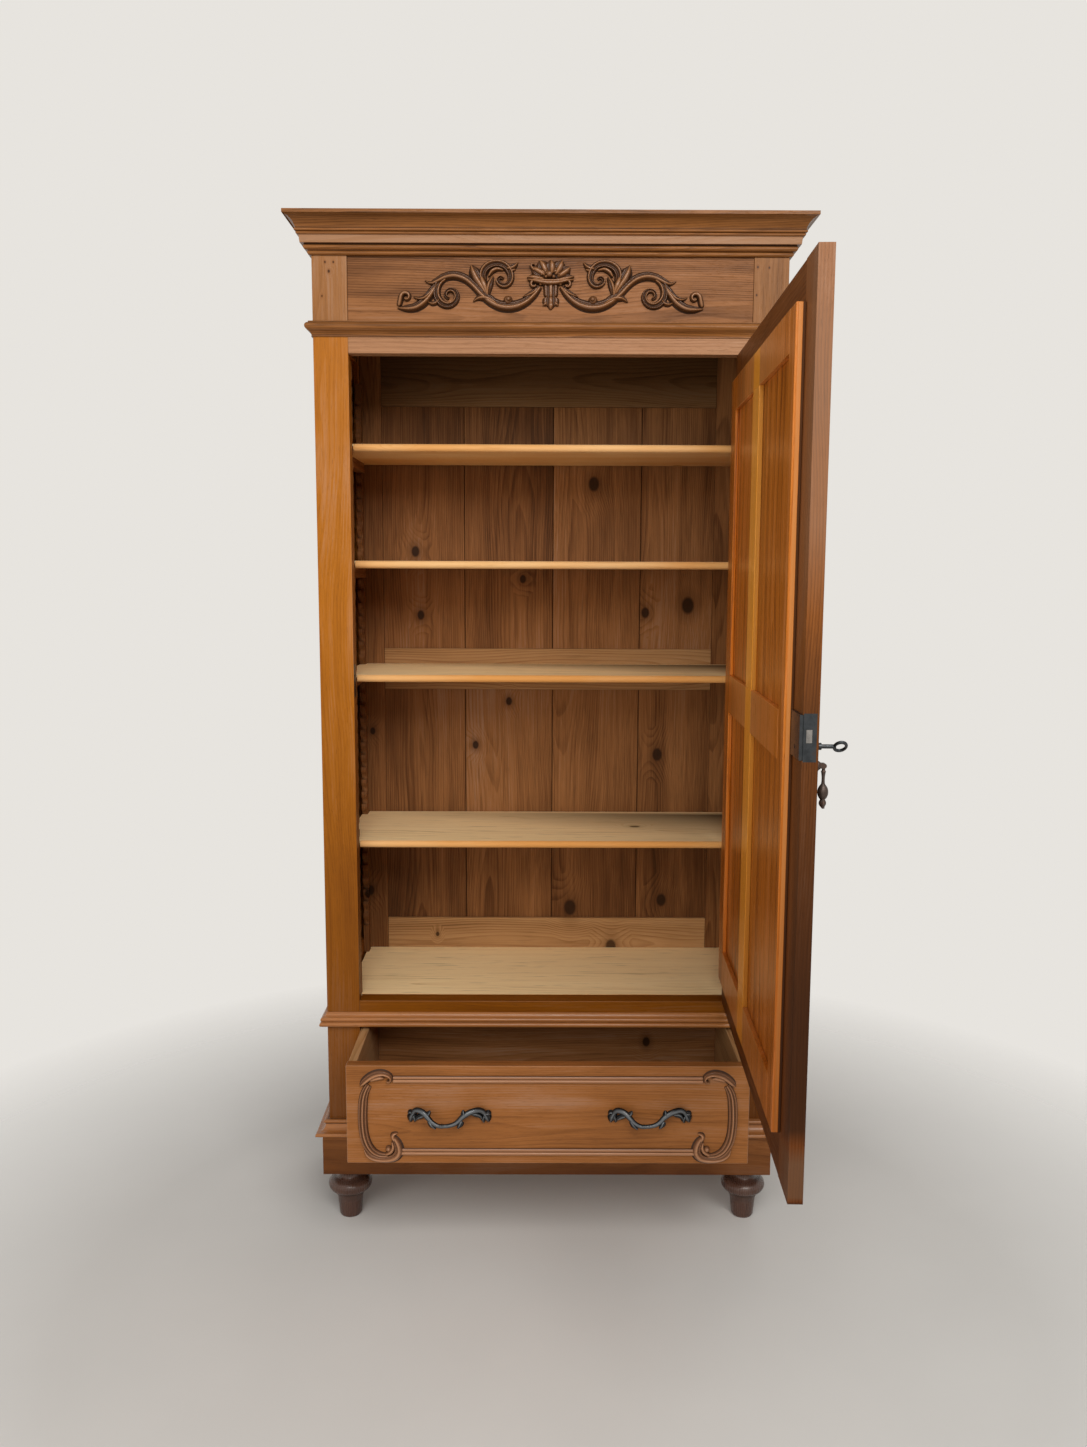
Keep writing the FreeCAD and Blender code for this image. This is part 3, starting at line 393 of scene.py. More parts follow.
def wood(name, kind, ring=300.0, depth=0.3, streak=0.5, fibre=0.5, pores=0.35, patina=0.45, rub_and_painted_light=0.45,
         rough=0.42, gloss=0.25, bump=0.25, knots=None, height_shade=None, head=None, dash=0.0):
    """A wood whose growth rings, fibres and pores run along the grain that each board carries.

    kind names its colours in the settings; ring is in rings per metre; the shade by height, (low, high, share
    left), paints shade darkest at low and gone by high; head is another kind above a height; dash is the
    strength of long dark strokes.
    """
    f = Finish(name)
    woods = bpy.context.scene.cupboard.woods
    light, dark = growth_colours(kind)
    bright = getattr(woods, kind + "_edge", None) or between(light, (1, 0.8, 0.6), 0.22)
    grain = f.attribute("grain", "Vector")
    wear = f.attribute("wear", "Fac")
    tone = f.attribute("tone", "Fac")

    drift = f.noise(f.stretch(grain, DRIFT), out=1)
    bent = f.put("VectorMath", {0: drift, 1: (0.0, SWAY, SWAY), 2: grain}, operation="MULTIPLY_ADD")
    from_heart = f.length(f.stretch(bent, (0.0, 1.0, 1.0)))
    wobble = f.noise(f.stretch(bent, WOBBLE))
    growth = f.scaled(wobble, RING_WOBBLE, f.math("MULTIPLY", from_heart, ring))
    if knots:
        away = knots(f, grain)
        growth = f.math("ADD", growth, f.span(away, 0.6, 4.5, 3.4, 0.0))
    rings = f.ramp(f.math("FRACT", growth), RING_SHADES)
    bands = f.noise(f.stretch(bent, BANDS), 3.0, 0.6)
    fine = f.noise(f.stretch(bent, FIBRES), 3.0, 0.65)
    pore = f.span(f.noise(f.stretch(bent, PORES), 1.0), 0.60, 0.72)
    cloud = f.noise(f.stretch(grain, CLOUDS), 3.0, 0.55)
    dimness = f.math("MULTIPLY", f.math("MULTIPLY", rings, depth), f.span(bands, 0.3, 0.7, 0.45, 1.3))
    for part, weight in ((bands, streak), (fine, fibre), (cloud, patina)):
        dimness = f.scaled(f.math("SUBTRACT", part, 0.5), weight, dimness)
    dimness = f.scaled(tone, TONE_STEP, dimness)
    dimness = f.math("ADD", dimness, 0.42 - depth * 0.4)

    def grown(first, last):
        """Colours from early to late growth."""
        pale = between(first, (1, 0.9, 0.8), 0.08)
        return f.ramp(dimness, [(0.0, pale), (0.3, first), (0.78, last), (1.0, between(last, BLACK, 0.4))])

    colour = grown(light, dark)
    if head or height_shade:
        height = f.put("SeparateXYZ", {0: f.place()}, "Z")
    if head:
        other, level = head
        blur = 3 * MM
        colour = f.mix(f.span(height, level - blur, level + blur), colour, grown(*growth_colours(other)))
    if dash:
        stroke = f.span(f.noise(f.stretch(bent, STROKES), 2.0, 0.6), 0.60, 0.72, 0.0, dash)
        colour = f.mix(stroke, colour, solid(between(dark, (0.1, 0.05, 0.02), 0.8)))
    colour = f.mix(f.math("MULTIPLY", pore, pores), colour, darker(dark, 0.55))
    if knots:
        colour = f.mix(f.span(away, 1.0, 2.6, 0.55, 0.0), colour, darker(dark, 0.25))
        colour = f.mix(f.span(away, 0.8, 1.15, 0.92, 0.0), colour, darker(dark, 0.82))
    # Above 0 the surface turns towards the rubbed colour: rubbed edges, and on carving, beads, the cornice
    # band and the door backing a painted highlight.
    rubbed = f.math("MULTIPLY", f.span(wear, 0.0, 1.0), f.span(cloud, 0.3, 0.62, 0.6, 1.0))
    colour = f.mix(f.math("MULTIPLY", rubbed, rub_and_painted_light), colour, solid(bright))
    # Painted shade by height: darkest at the first height, gone by the second.
    if height_shade:
        low, high, share = height_shade
        tint = f.ramp(f.span(height, low, high), [(0.0, (share, share * 0.82, share * 0.65)), (1.0, 1.0)])
        colour = f.mix(1.0, colour, tint, "MULTIPLY")
    # Below 0 it turns towards the dark hollow colour: dirt, and painted shade in creases, grooves and
    # recesses.
    dirt_and_shade_mask = f.span(wear, 0.0, -1.0, 0.0, 0.9)
    colour = f.mix(dirt_and_shade_mask, colour, solid(woods.dirt_and_shade))
    sheen = f.math("ADD", f.span(fine, 0.3, 0.7, rough - 0.05, rough + 0.07), f.math("MULTIPLY", dirt_and_shade_mask, 0.4))
    f.surface(Base_Color=colour, Roughness=sheen, Specular_IOR_Level=gloss)
    f.relief(f.scaled(dimness, -0.5, f.math("MULTIPLY", pore, -0.5)), bump, 0.001)
    return f.material


def iron(name, colour, bloom, rough, metal=0.9):
    """Old iron or steel: mottled, a little rusty, with a fine cast skin."""
    f = Finish(name)
    spot = f.place()
    skin = f.noise(spot, 4.0, 0.6, scale=650.0)
    patch = f.noise(spot, 5.0, 0.6, scale=48.0)
    wear = f.attribute("wear", "Fac")
    base = f.ramp(patch, [(0.36, between(colour, BLACK, 0.35)), (0.52, colour), (0.7, bloom)])
    base = f.mix(f.span(skin, 0.35, 0.7, 0.0, 0.5), base, darker(colour, 0.5))
    # Painted highlight: crests of the casting lighter and bluer.
    base = f.mix(f.span(wear, 0.1, 0.8, 0.0, 0.6), base, solid(between(colour, (0.9, 0.95, 1), 0.2)))
    # Painted shade: hollows of the casting darker.
    base = f.mix(f.span(wear, 0.0, -0.8, 0.0, 0.85), base, darker(colour, 0.9))
    f.surface(Base_Color=base, Roughness=f.span(skin, 0.3, 0.7, rough - 0.08, rough + 0.14), Metallic=metal)
    f.relief(skin, 0.35, 0.0006)
    return f.material


def looking_glass(name, silver):
    """Silvered glass with a few grey spots where the silver has lifted."""
    f = Finish(name)
    spot = f.place()
    lifted = f.span(f.noise(spot, 6.0, 0.7, scale=14.0), 0.66, 0.74)
    haze = f.noise(spot, scale=5.0)
    colour = f.mix(lifted, solid(silver), (0.25, 0.24, 0.22, 1.0))
    dull = f.math("ADD", f.span(haze, 0.3, 0.7, 0.015, 0.05), f.math("MULTIPLY", lifted, 0.3))
    f.surface(Base_Color=colour, Roughness=dull, Metallic=1.0)
    f.relief(haze, 0.02, 0.001)
    return f.material


BACK_KNOTS = placed_knots((
    (0.103, 1.577, 0.012), (0.224, 1.286, 0.009), (-0.293, 1.279, 0.008), (-0.090, 1.080, 0.007),
    (-0.168, 0.977, 0.007), (0.257, 0.9555, 0.011), (0.055, 0.586, 0.014), (0.272, 0.605, 0.011),
    (-0.407, 1.010, 0.006), (-0.418, 0.629, 0.009), (0.153, 0.493, 0.012), (-0.26, 0.522, 0.004),
    (0.322, 1.303, 0.014), (-0.304, 1.424, 0.009), (-0.058, 1.362, 0.007), (0.22, 0.347, 0.008),
))
NAILS = placed_knots((
    (0.399, 1.962, 0.0018), (0.421, 1.961, 0.0016), (0.398, 1.910, 0.0016), (-0.427, 1.951, 0.0022),
    (-0.434, 1.968, 0.0016), (-0.418, 1.968, 0.0015), (-0.441, 1.905, 0.0013), (0.438, 1.885, 0.0014),
))
WOODS = {
    "waxed_walnut": dict(kind="walnut", ring=260.0, depth=0.26, streak=0.9, patina=1.1, rough=0.36,
                         gloss=0.1),
    "cornice_walnut": dict(kind="cornice", ring=260.0, depth=0.26, streak=0.6, patina=0.85, rough=0.34,
                           gloss=0.18),
    # The front walnut darkens below about a quarter of a metre, on the plinth under the drawer: painted
    # shade.
    "front_walnut": dict(kind="front", ring=240.0, depth=0.16, patina=1.15, rough=0.38, gloss=0.18, dash=0.16,
                         height_shade=(0.1, 0.235, 0.42)),
    "bead_walnut": dict(kind="bead", ring=160.0, depth=0.1, streak=0.3, patina=0.6, rough=0.26, gloss=0.4,
                        bump=0.1),
    "head_walnut": dict(kind="head", ring=260.0, depth=0.2, gloss=0.2),
    # The golden walnut darkens towards the floor: painted shade.
    "golden_walnut": dict(kind="post", ring=220.0, depth=0.15, streak=0.9, patina=0.9, rough=0.36, gloss=0.16,
                          height_shade=(0.15, 1.3, 0.32), knots=NAILS, head=("block", 1.842)),
    # The door frame darkens below about 1.45 m towards its foot: painted shade.
    "door_walnut": dict(kind="deep", ring=260.0, patina=0.7, rub_and_painted_light=0.75, gloss=0.12, height_shade=(0.75, 1.45, 0.5)),
    "carved_walnut": dict(kind="carved", ring=200.0, depth=0.12, streak=0.3, patina=0.9, rub_and_painted_light=0.6, rough=0.22,
                          gloss=0.42, bump=0.1),
    "scroll_walnut": dict(kind="scroll", ring=200.0, depth=0.12, streak=0.3, rub_and_painted_light=0.85, rough=0.32, gloss=0.45,
                          bump=0.1),
    # The varnished backing darkens towards the foot of the door: painted shade.
    "varnished_backing": dict(kind="backing", ring=150.0, depth=0.36, streak=1.3, rub_and_painted_light=0.95, rough=0.3,
                              gloss=0.25, height_shade=(0.45, 1.3, 0.55)),
    # The golden strip darkens towards the foot of the door: painted shade.
    "golden_backing": dict(kind="muntin", ring=200.0, streak=0.8, rub_and_painted_light=0.2, rough=0.3, gloss=0.25,
                           height_shade=(0.45, 1.3, 0.55)),
    "shelf_pine": dict(kind="pine", ring=170.0, depth=0.45, streak=0.6, fibre=0.7, pores=0.1, rub_and_painted_light=0.95,
                       rough=0.65, gloss=0.04, dash=0.4, knots=loose_knots(0.008, 0.2)),
    # The back rails darken above 1.62 m, most at 1.8 m, under the head of the body: painted shade.
    "rail_pine": dict(kind="rail", ring=260.0, depth=0.4, pores=0.1, rough=0.58, gloss=0.15, dash=0.3,
                      height_shade=(1.8, 1.62, 0.22), knots=BACK_KNOTS),
    "back_pine": dict(kind="back", ring=300.0, depth=0.24, streak=0.7, fibre=0.8, pores=0.15, patina=0.95,
                      rough=0.58, gloss=0.15, dash=0.35, knots=BACK_KNOTS),
    "foot_walnut": dict(kind="foot", ring=240.0, rough=0.26, gloss=0.5),
}


def finish(name):
    """A finish by name, made once."""
    if name in FINISHES:
        return FINISHES[name]
    metals = bpy.context.scene.cupboard.metals
    rust = tuple(metals.rust)
    if name in WOODS:
        made = wood(name, **WOODS[name])
    elif name == "cast_iron":
        made = iron(name, tuple(metals.iron), rust, 0.34)
    elif name == "brown_iron":
        made = iron(name, rust, between(rust, (0.12, 0.05, 0.025), 0.7), 0.4, 0.6)
    elif name == "worn_steel":
        made = iron(name, tuple(metals.steel), between(metals.steel, rust, 0.6), 0.34)
    else:
        made = looking_glass(name, tuple(metals.silver))
    FINISHES[name] = made
    return made


# Meshes.


def whole(bm):
    """Everything in a mesh."""
    return bm.verts[:] + bm.edges[:] + bm.faces[:]


def cut_line(bm, place, direction):
    """Cuts a line round a mesh, square to a direction."""
    bmesh.ops.bisect_plane(bm, geom=whole(bm), dist=1e-6, plane_co=place, plane_no=direction)


def layer(bm, name):
    """A number that the vertices carry."""
    return bm.verts.layers.float.get(name) or bm.verts.layers.float.new(name)


def boards_of(bm):
    """The vertices of each separate board in a mesh."""
    seen = set()
    for start in bm.verts:
        if start in seen:
            continue
        board = [start]
        seen.add(start)
        for v in board:
            for e in v.link_edges:
                other = e.other_vert(v)
                if other not in seen:
                    seen.add(other)
                    board.append(other)
        yield board


def worked_copy(node, easing):
    """A merged copy of a CAD node with the sharp edges of each board eased."""
    merge = 2e-6
    flat = math.radians(0.4)
    sharp = math.radians(40)
    bm = bmesh.new()
    bm.from_mesh(NODES[node].data)
    bmesh.ops.remove_doubles(bm, verts=bm.verts[:], dist=merge)
    bmesh.ops.dissolve_limit(bm, angle_limit=flat, verts=bm.verts[:], edges=bm.edges[:])
    if easing:
        for board in list(boards_of(bm)):
            edges = {e for v in board for e in v.link_edges if len(e.link_faces) == 2}
            corners = [e for e in edges if e.calc_face_angle_signed(0.0) > sharp]
            bmesh.ops.bevel(bm, geom=corners, offset=easing, offset_type="OFFSET", segments=2, profile=0.5,
                            affect="EDGES", clamp_overlap=True, material=-1)
    return bm


def mark_wear_and_shade(bm, rubbed):
    """Notes creases as below 0, for dirt and painted shade, and eased edges by how far they are rubbed, or
    dirty if below 0.
    """
    wear = layer(bm, "wear")
    for v in bm.verts:
        bend = max((e.calc_face_angle_signed(0.0) for e in v.link_edges), key=abs, default=0.0)
        degrees = math.degrees(bend)
        if bend > 0:
            v[wear] = rubbed * min(1.0, max(0.0, (degrees - 30) / 15))
        else:
            v[wear] = -min(1.0, max(0.0, (-degrees - 20) / 40))


def lay_grain(bm, seed, along=None):
    """Gives each board a tone and its own grain, along its longest side and cut some way from the heart."""
    grain = bm.verts.layers.float_vector.new("grain")
    tone = layer(bm, "tone")
    for number, board in enumerate(boards_of(bm)):
        rng = random.Random("%s %d" % (seed, number))
        low = [min(v.co[i] for v in board) for i in range(3)]
        high = [max(v.co[i] for v in board) for i in range(3)]
        order = sorted(range(3), key=lambda i: low[i] - high[i])
        if along is not None:
            order = [along] + [i for i in order if i != along]
        middle = [(low[i] + high[i]) / 2 for i in order]
        aside = rng.uniform(-0.3, 0.3) * (high[order[1]] - low[order[1]])
        shift = Vector((rng.uniform(0, 40), -middle[1] - aside, rng.uniform(0.025, 0.07) - middle[2]))
        lightness = rng.uniform(-1, 1)
        for v in board:
            v[grain] = Vector([v.co[i] for i in order]) + shift
            v[tone] = lightness


def piece(name, bm, body, material, nodes=(), smooth=40.0):
    """Puts a finished mesh into the scene, on its body and in place of its CAD nodes."""
    mesh = bpy.data.meshes.new(name)
    bm.to_mesh(mesh)
    bm.free()
    mesh.materials.append(finish(material))
    mesh.shade_smooth()
    mesh.set_sharp_from_angle(angle=math.radians(smooth))
    obj = bpy.data.objects.new(name, mesh)
    bpy.context.scene.collection.objects.link(obj)
    even = obj.modifiers.new("Even shading", "WEIGHTED_NORMAL")
    even.keep_sharp = True
    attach(obj, body)
    if nodes:
        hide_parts(*nodes)
    return obj


def worked(node, material, easing, along=None, shape=None, rubbed=1.0):
    """A piece from a CAD node: edges eased, grain laid, wear and painted crease shade marked; rubbed below 0
    makes dirty seams.
    """
    if node not in NODES:
        raise RuntimeError("the frame has no node named " + node)
    bm = worked_copy(node, easing)
    if shape:
        shape(bm)
    mark_wear_and_shade(bm, rubbed if easing else 0.0)
    lay_grain(bm, node, along)
    return piece(node + "_worked", bm, BODY_OF[node], material, (node,))


def mark(obj, name, rule):
    """Sets a value that the vertices carry wherever a rule gives one."""
    values = obj.data.attributes[name].data
    for v in obj.data.vertices:
        value = rule(v.co)
        if value is not None:
            values[v.index].value = value


def coated(node, material):
    """A CAD node that keeps its shape and gets a finish."""
    if node not in NODES:
        raise RuntimeError("the frame has no node named " + node)
    mesh = NODES[node].data
    mesh.materials.clear()
    mesh.materials.append(finish(material))


def path_through(points, step):
    """Places about a step apart on a smooth line through some points."""
    points = [Vector(p) for p in points]
    held = [2 * points[0] - points[1]] + points + [2 * points[-1] - points[-2]]
    places = []
    for a, b, c, d in zip(held, held[1:], held[2:], held[3:]):
        count = max(1, round((c - b).length / step))
        for i in range(count):
            t = i / count
            bend = (2 * a - 5 * b + 4 * c - d) * t * t + (3 * b - a - 3 * c + d) * t ** 3
            places.append((2 * b + (c - a) * t + bend) / 2)
    places.append(points[-1])
    return places


def spread(values, share):
    """A value at a share of the way along an evenly spaced list."""
    k = share * (len(values) - 1)
    j = min(int(k), len(values) - 2)
    return values[j] + (k - j) * (values[j + 1] - values[j])


# Sections of carved bands: across from -1 to 1, up from the ground to 1. A low foot is the dark outline, as
# dirt and painted shadow.
FOOT = ((-1.5, -0.15), (-1.42, 0.02), (-1.0, 0.1))
NARROW_FOOT = ((-1.2, -0.15), (-1.1, 0.04), (-1.0, 0.1))


def footed(foot, back):
    """A section between two mirrored feet."""
    return foot + back + tuple((-u, v) for u, v in reversed(foot))


DOME = footed(FOOT, ((-0.92, 0.55), (-0.55, 0.9), (0, 1.0), (0.55, 0.9), (0.92, 0.55)))
GOUGE = footed(FOOT, ((-0.96, 0.62), (-0.7, 1.0), (-0.42, 0.9), (-0.1, 0.4), (0.14, 0.32), (0.46, 0.62),
                      (0.78, 0.82), (0.96, 0.5)))
LEAF = footed(FOOT, ((-0.94, 0.5), (-0.72, 0.7), (-0.5, 0.56), (-0.36, 0.42), (-0.05, 0.96), (0.2, 1.0),
                     (0.6, 0.84), (0.92, 0.5)))
REEDS = footed(NARROW_FOOT, ((-0.94, 0.6), (-0.74, 0.86), (-0.52, 0.66), (-0.38, 0.3), (-0.24, 0.8), (0, 1.0),
                             (0.24, 0.8), (0.38, 0.3), (0.52, 0.66), (0.74, 0.86), (0.94, 0.6)))
ROUND = tuple((math.cos(math.radians(a)), math.sin(math.radians(a))) for a in range(0, 360, 45))


def crest_shading_and_wear(up):
    """Dirt and painted shade low on a band, and rubbing with a painted highlight on its crest."""
    shade_below, bright = 0.62, 0.8
    if up < shade_below:
        return max(-1.0, 1.9 * (up - shade_below))
    return min(1.0, max(0.0, (up - bright) / 0.2))


def strand(bm, points, widths, heights, section):
    """Extrudes a section along a line, its width and height following lists spread along it."""
    wear = layer(bm, "wear")
    out = Vector((0, -1, 0))
    last = len(points) - 1
    frames = []
    for i, place in enumerate(points):
        along = (points[min(i + 1, last)] - points[max(i - 1, 0)]).normalized()
        across = along.cross(out).normalized()
        up = across.cross(along)
        w = spread(widths, i / last) / 2
        h = spread(heights, i / last)
        columns = Matrix((across * w, up * h, along)).transposed().to_4x4()
        frames.append(Matrix.Translation(place) @ columns)
    ring = [bm.verts.new(frames[0] @ Vector((u, v, 0))) for u, v in section]
    edges = [bm.edges.new(ends) for ends in zip(ring, ring[1:] + ring[:1])]
    bmesh.ops.edgeloop_fill(bm, edges=edges)
    level = {v: p[1] for v, p in zip(ring, section)}
    for old, new in zip(frames, frames[1:]):
        made = bmesh.ops.extrude_edge_only(bm, edges=edges)["geom"]
        ring = [v for v in made if isinstance(v, bmesh.types.BMVert)]
        lines = [e for e in made if isinstance(e, bmesh.types.BMEdge)]
        edges = [e for e in lines if e.verts[0] in ring and e.verts[1] in ring]
        back = old.inverted()
        for v in ring:
            level[v] = (back @ v.co).y
        bmesh.ops.transform(bm, matrix=new @ back, verts=ring)
    bmesh.ops.edgeloop_fill(bm, edges=edges)
    # Low parts of the section darken as dirt and painted shade, and the crest lightens as rubbing and a
    # painted highlight.
    for v, up in level.items():
        v[wear] = crest_shading_and_wear(up)


def face_middle(node):
    """The place half way up a board's front face, in the middle of the cupboard."""
    low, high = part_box(node)
    return 0.0, low.y, (low.z + high.z) / 2


def on_face(origin, x, z, out=0.0):
    """A place on a face: millimetres to the right and up from the origin, and metres out of the face."""
    return Vector((origin[0] + x * MM, origin[1] - out, origin[2] + z * MM))


def carve(bm, origin, relief, step, line, widths, shares, section, swell=1.0):
    """A carved band; places and widths in millimetres from the origin, heights in shares of the relief."""
    places = [on_face(origin, x, z) for x, z in line]
    strand(bm, path_through(places, step), [swell * w * MM for w in widths], [relief * s for s in shares],
           section)


def carved_piece(name, bm, node, material, mirrored):
    """Finishes a carving: the other half, normals, grain and rounding."""
    if mirrored:
        bmesh.ops.mirror(bm, geom=whole(bm), axis="X", merge_dist=0.0)
    bmesh.ops.recalc_face_normals(bm, faces=bm.faces[:])
    grain = bm.verts.layers.float_vector.new("grain")
    layer(bm, "tone")
    for v in bm.verts:
        v[grain] = Vector((v.co.x, v.co.z, v.co.y))
    obj = piece(name, bm, BODY_OF[node], material, (node,), smooth=180.0)
    obj.modifiers.clear()
    rounding = obj.modifiers.new("Rounding", "SUBSURF")
    rounding.levels = 1
    rounding.render_levels = 1
    return obj


def knob(bm, centre, radius, height):
    """A round boss that stands out of a face towards the front."""
    wear = layer(bm, "wear")
    place = Matrix.Translation(centre) @ Matrix.Diagonal((radius, height, radius, 1.0))
    made = bmesh.ops.create_icosphere(bm, subdivisions=2, radius=1.0, matrix=place)["verts"]
    for v in made:
        # Dark round the foot of the boss, as dirt and painted shade, and lighter on top, as rubbing and a
        # painted highlight.
        v[wear] = max(-1.0, min(0.8, (centre.y - v.co.y) / height * 1.6 - 0.9))


# Operators, one for each piece or group of like pieces.


class CUPBOARD_OT_carcass(bpy.types.Operator):
    """Posts, rails and side panels of the body"""

    bl_idname = "cupboard.carcass"
    bl_label = "Carcass boards"

    def execute(self, context):
        edge = context.scene.cupboard.sizes.board_edge
        for node in ("post_front_left", "post_front_right", "bottom_rail", "side_rails", "side_panels",
                     "posts_rear"):
            worked(node, "golden_walnut", edge)
        worked("top_rail", "head_walnut", edge / 2, rubbed=-0.9)
        worked("frieze_board", "waxed_walnut", edge / 2, rubbed=-1.0)
        worked("base_rail", "front_walnut", edge / 2)
        return {"FINISHED"}


class CUPBOARD_OT_mouldings(bpy.types.Operator):
    """Plinth, cornice and the mouldings round the body"""

    bl_idname = "cupboard.mouldings"
    bl_label = "Mouldings"

    def execute(self, context):
        edge = context.scene.cupboard.sizes.thin_edge
        worked("plinth", "front_walnut", edge)
        worked("base_moulding", "bead_walnut", 0.0)
        worked("waist_moulding", "bead_walnut", edge)
        worked("frieze_moulding", "cornice_walnut", edge)
        obj = worked("cornice_moulding", "cornice_walnut", edge)
        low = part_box("cornice_moulding")[0].z
        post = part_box("post_front_left")[0]

        groove_low, groove_high = 16.5, 20.0
        band_low, band_high = 19, 34
        cove_low, cove_high = 44, 65
        inner, outer = 15 * MM, 20.5 * MM

        def place(co):
            """How high a point lies in the cornice, in millimetres, and how far it stands out, in metres."""
            return (co.z - low) / MM, max(post.y - co.y, abs(co.x) + post.x)

        def groove_shade_band_light(co):
            """Painted shade lies in the groove under the flat band of the cornice, and the band itself is
            painted lighter, as painted light.
            """
            level, reach = place(co)
            if groove_low < level < groove_high and reach < inner:
                return -1.0
            return 0.9 if band_low < level < band_high and inner < reach < outer else None

        def band(co):
            """The flat band is painted paler, as painted light, and the hollow above it darker, as painted
            shade.
            """
            level, reach = place(co)
            if band_low < level < band_high and reach > inner:
                return -2.4
            return 1.4 if cove_low < level < cove_high else 0.0

        mark(obj, "wear", groove_shade_band_light)
        mark(obj, "tone", band)
        return {"FINISHED"}


class CUPBOARD_OT_feet(bpy.types.Operator):
    """Turned feet"""

    bl_idname = "cupboard.feet"
    bl_label = "Feet"

    def execute(self, context):
        worked("feet", "foot_walnut", 0.0, along=2)
        return {"FINISHED"}


class CUPBOARD_OT_back(bpy.types.Operator):
    """Back frame, back boards, top, base and the drawer's runners"""

    bl_idname = "cupboard.back"
    bl_label = "Back and inner boards"

    def execute(self, context):
        edge = context.scene.cupboard.sizes.board_edge / 2
        # The back stiles are darker all over: painted shade in the inner corners.
        mark(worked("back_stiles", "back_pine", edge, rubbed=-1.0), "tone", lambda co: 2.2)
        for node in ("back_boards_base", "top_board", "base_board", "cornice_back", "drawer_kickers",
                     "drawer_runners"):
            worked(node, "back_pine", edge)
        # The top of the upper back boards and the foot of the lower ones are darker: painted shade.
        dark_end = 0.02
        for node, end in (("back_boards_upper", 1), ("back_boards_lower", 0)):
            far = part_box(node)[end].z
            obj = worked(node, "back_pine", edge, rubbed=-1.0)
            tone = obj.data.attributes["tone"].data
            for v in obj.data.vertices:
                if abs(v.co.z - far) < dark_end:
                    tone[v.index].value += 3.0
        worked("back_rails", "rail_pine", edge, rubbed=-0.8)
        return {"FINISHED"}


class CUPBOARD_OT_shelves(bpy.types.Operator):
    """Shelves, floor board, cleats and notched racks"""

    bl_idname = "cupboard.shelves"
    bl_label = "Shelves"

    def execute(self, context):
        sizes = context.scene.cupboard.sizes
        blend = 6 * MM
        for number in range(1, 5):
            node = "shelf_%d" % number
            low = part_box(node)[0]
            front = low.y + sizes.shelf_rub

            def strip(bm):
                """Cuts a line behind the rubbed front edge."""
                for y in (front, front + blend):
                    cut_line(bm, (0, y, 0), (0, 1, 0))

            def rub_and_painted_light(co):
                """The front edge is rubbed, and the underside takes the same brown as painted shade."""
                if co.y < front + MM:
                    return 1.0
                return 0.8 if co.z < low.z + MM else None

            mark(worked(node, "shelf_pine", 0.0, along=0, shape=strip), "wear", rub_and_painted_light)
        worked("floor_board", "shelf_pine", sizes.thin_edge)
        worked("shelf_cleats", "back_pine", sizes.thin_edge)
        mark(worked("shelf_racks", "back_pine", 0.0, along=2), "tone", lambda co: 1.6)
        return {"FINISHED"}


class CUPBOARD_OT_door_frame(bpy.types.Operator):
    """Stiles and rails of the door with the moulding round the mirror"""

    bl_idname = "cupboard.door_frame"
    bl_label = "Door frame"

    def execute(self, context):
        edge = context.scene.cupboard.sizes.board_edge
        for node in ("door_stile_hinge", "door_rail_top", "door_rail_low"):
            mark(worked(node, "door_walnut", edge), "tone", lambda co: 3.0)
        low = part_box("door_stile_lock")[0].z
        outward = Vector((-math.cos(DOOR_TURN), -math.sin(DOOR_TURN), 0.0))
        rim = max(outward @ v.co for v in NODES["door_stile_lock"].data.vertices)

        cuts = (0.01, 0.06, 0.11, 0.3, 0.6, 0.95)
        bare_low, bare_high = 0.005, 0.07
        shade_below, handled = 0.5, 0.94

        def lines(bm):
            """Cuts lines across the stile, round the bare patch at its foot and where its edge darkens."""
            for z in cuts:
                cut_line(bm, (0, 0, low + z), (0, 0, 1))

        def free_edge(co):
            """The free edge is grey with handling above, darker below as painted shade, and bare at its foot.
            """
            up = co.z - low
            if outward @ co < rim - 0.8 * MM:
                return 0.0
            if bare_low < up < bare_high:
                return 1.0
            if up > handled:
                return 0.5
            return -0.86 if up < shade_below else -0.55

        mark(worked("door_stile_lock", "door_walnut", edge, shape=lines), "wear", free_edge)
        worked("mirror_moulding", "door_walnut", 0.0)
        return {"FINISHED"}


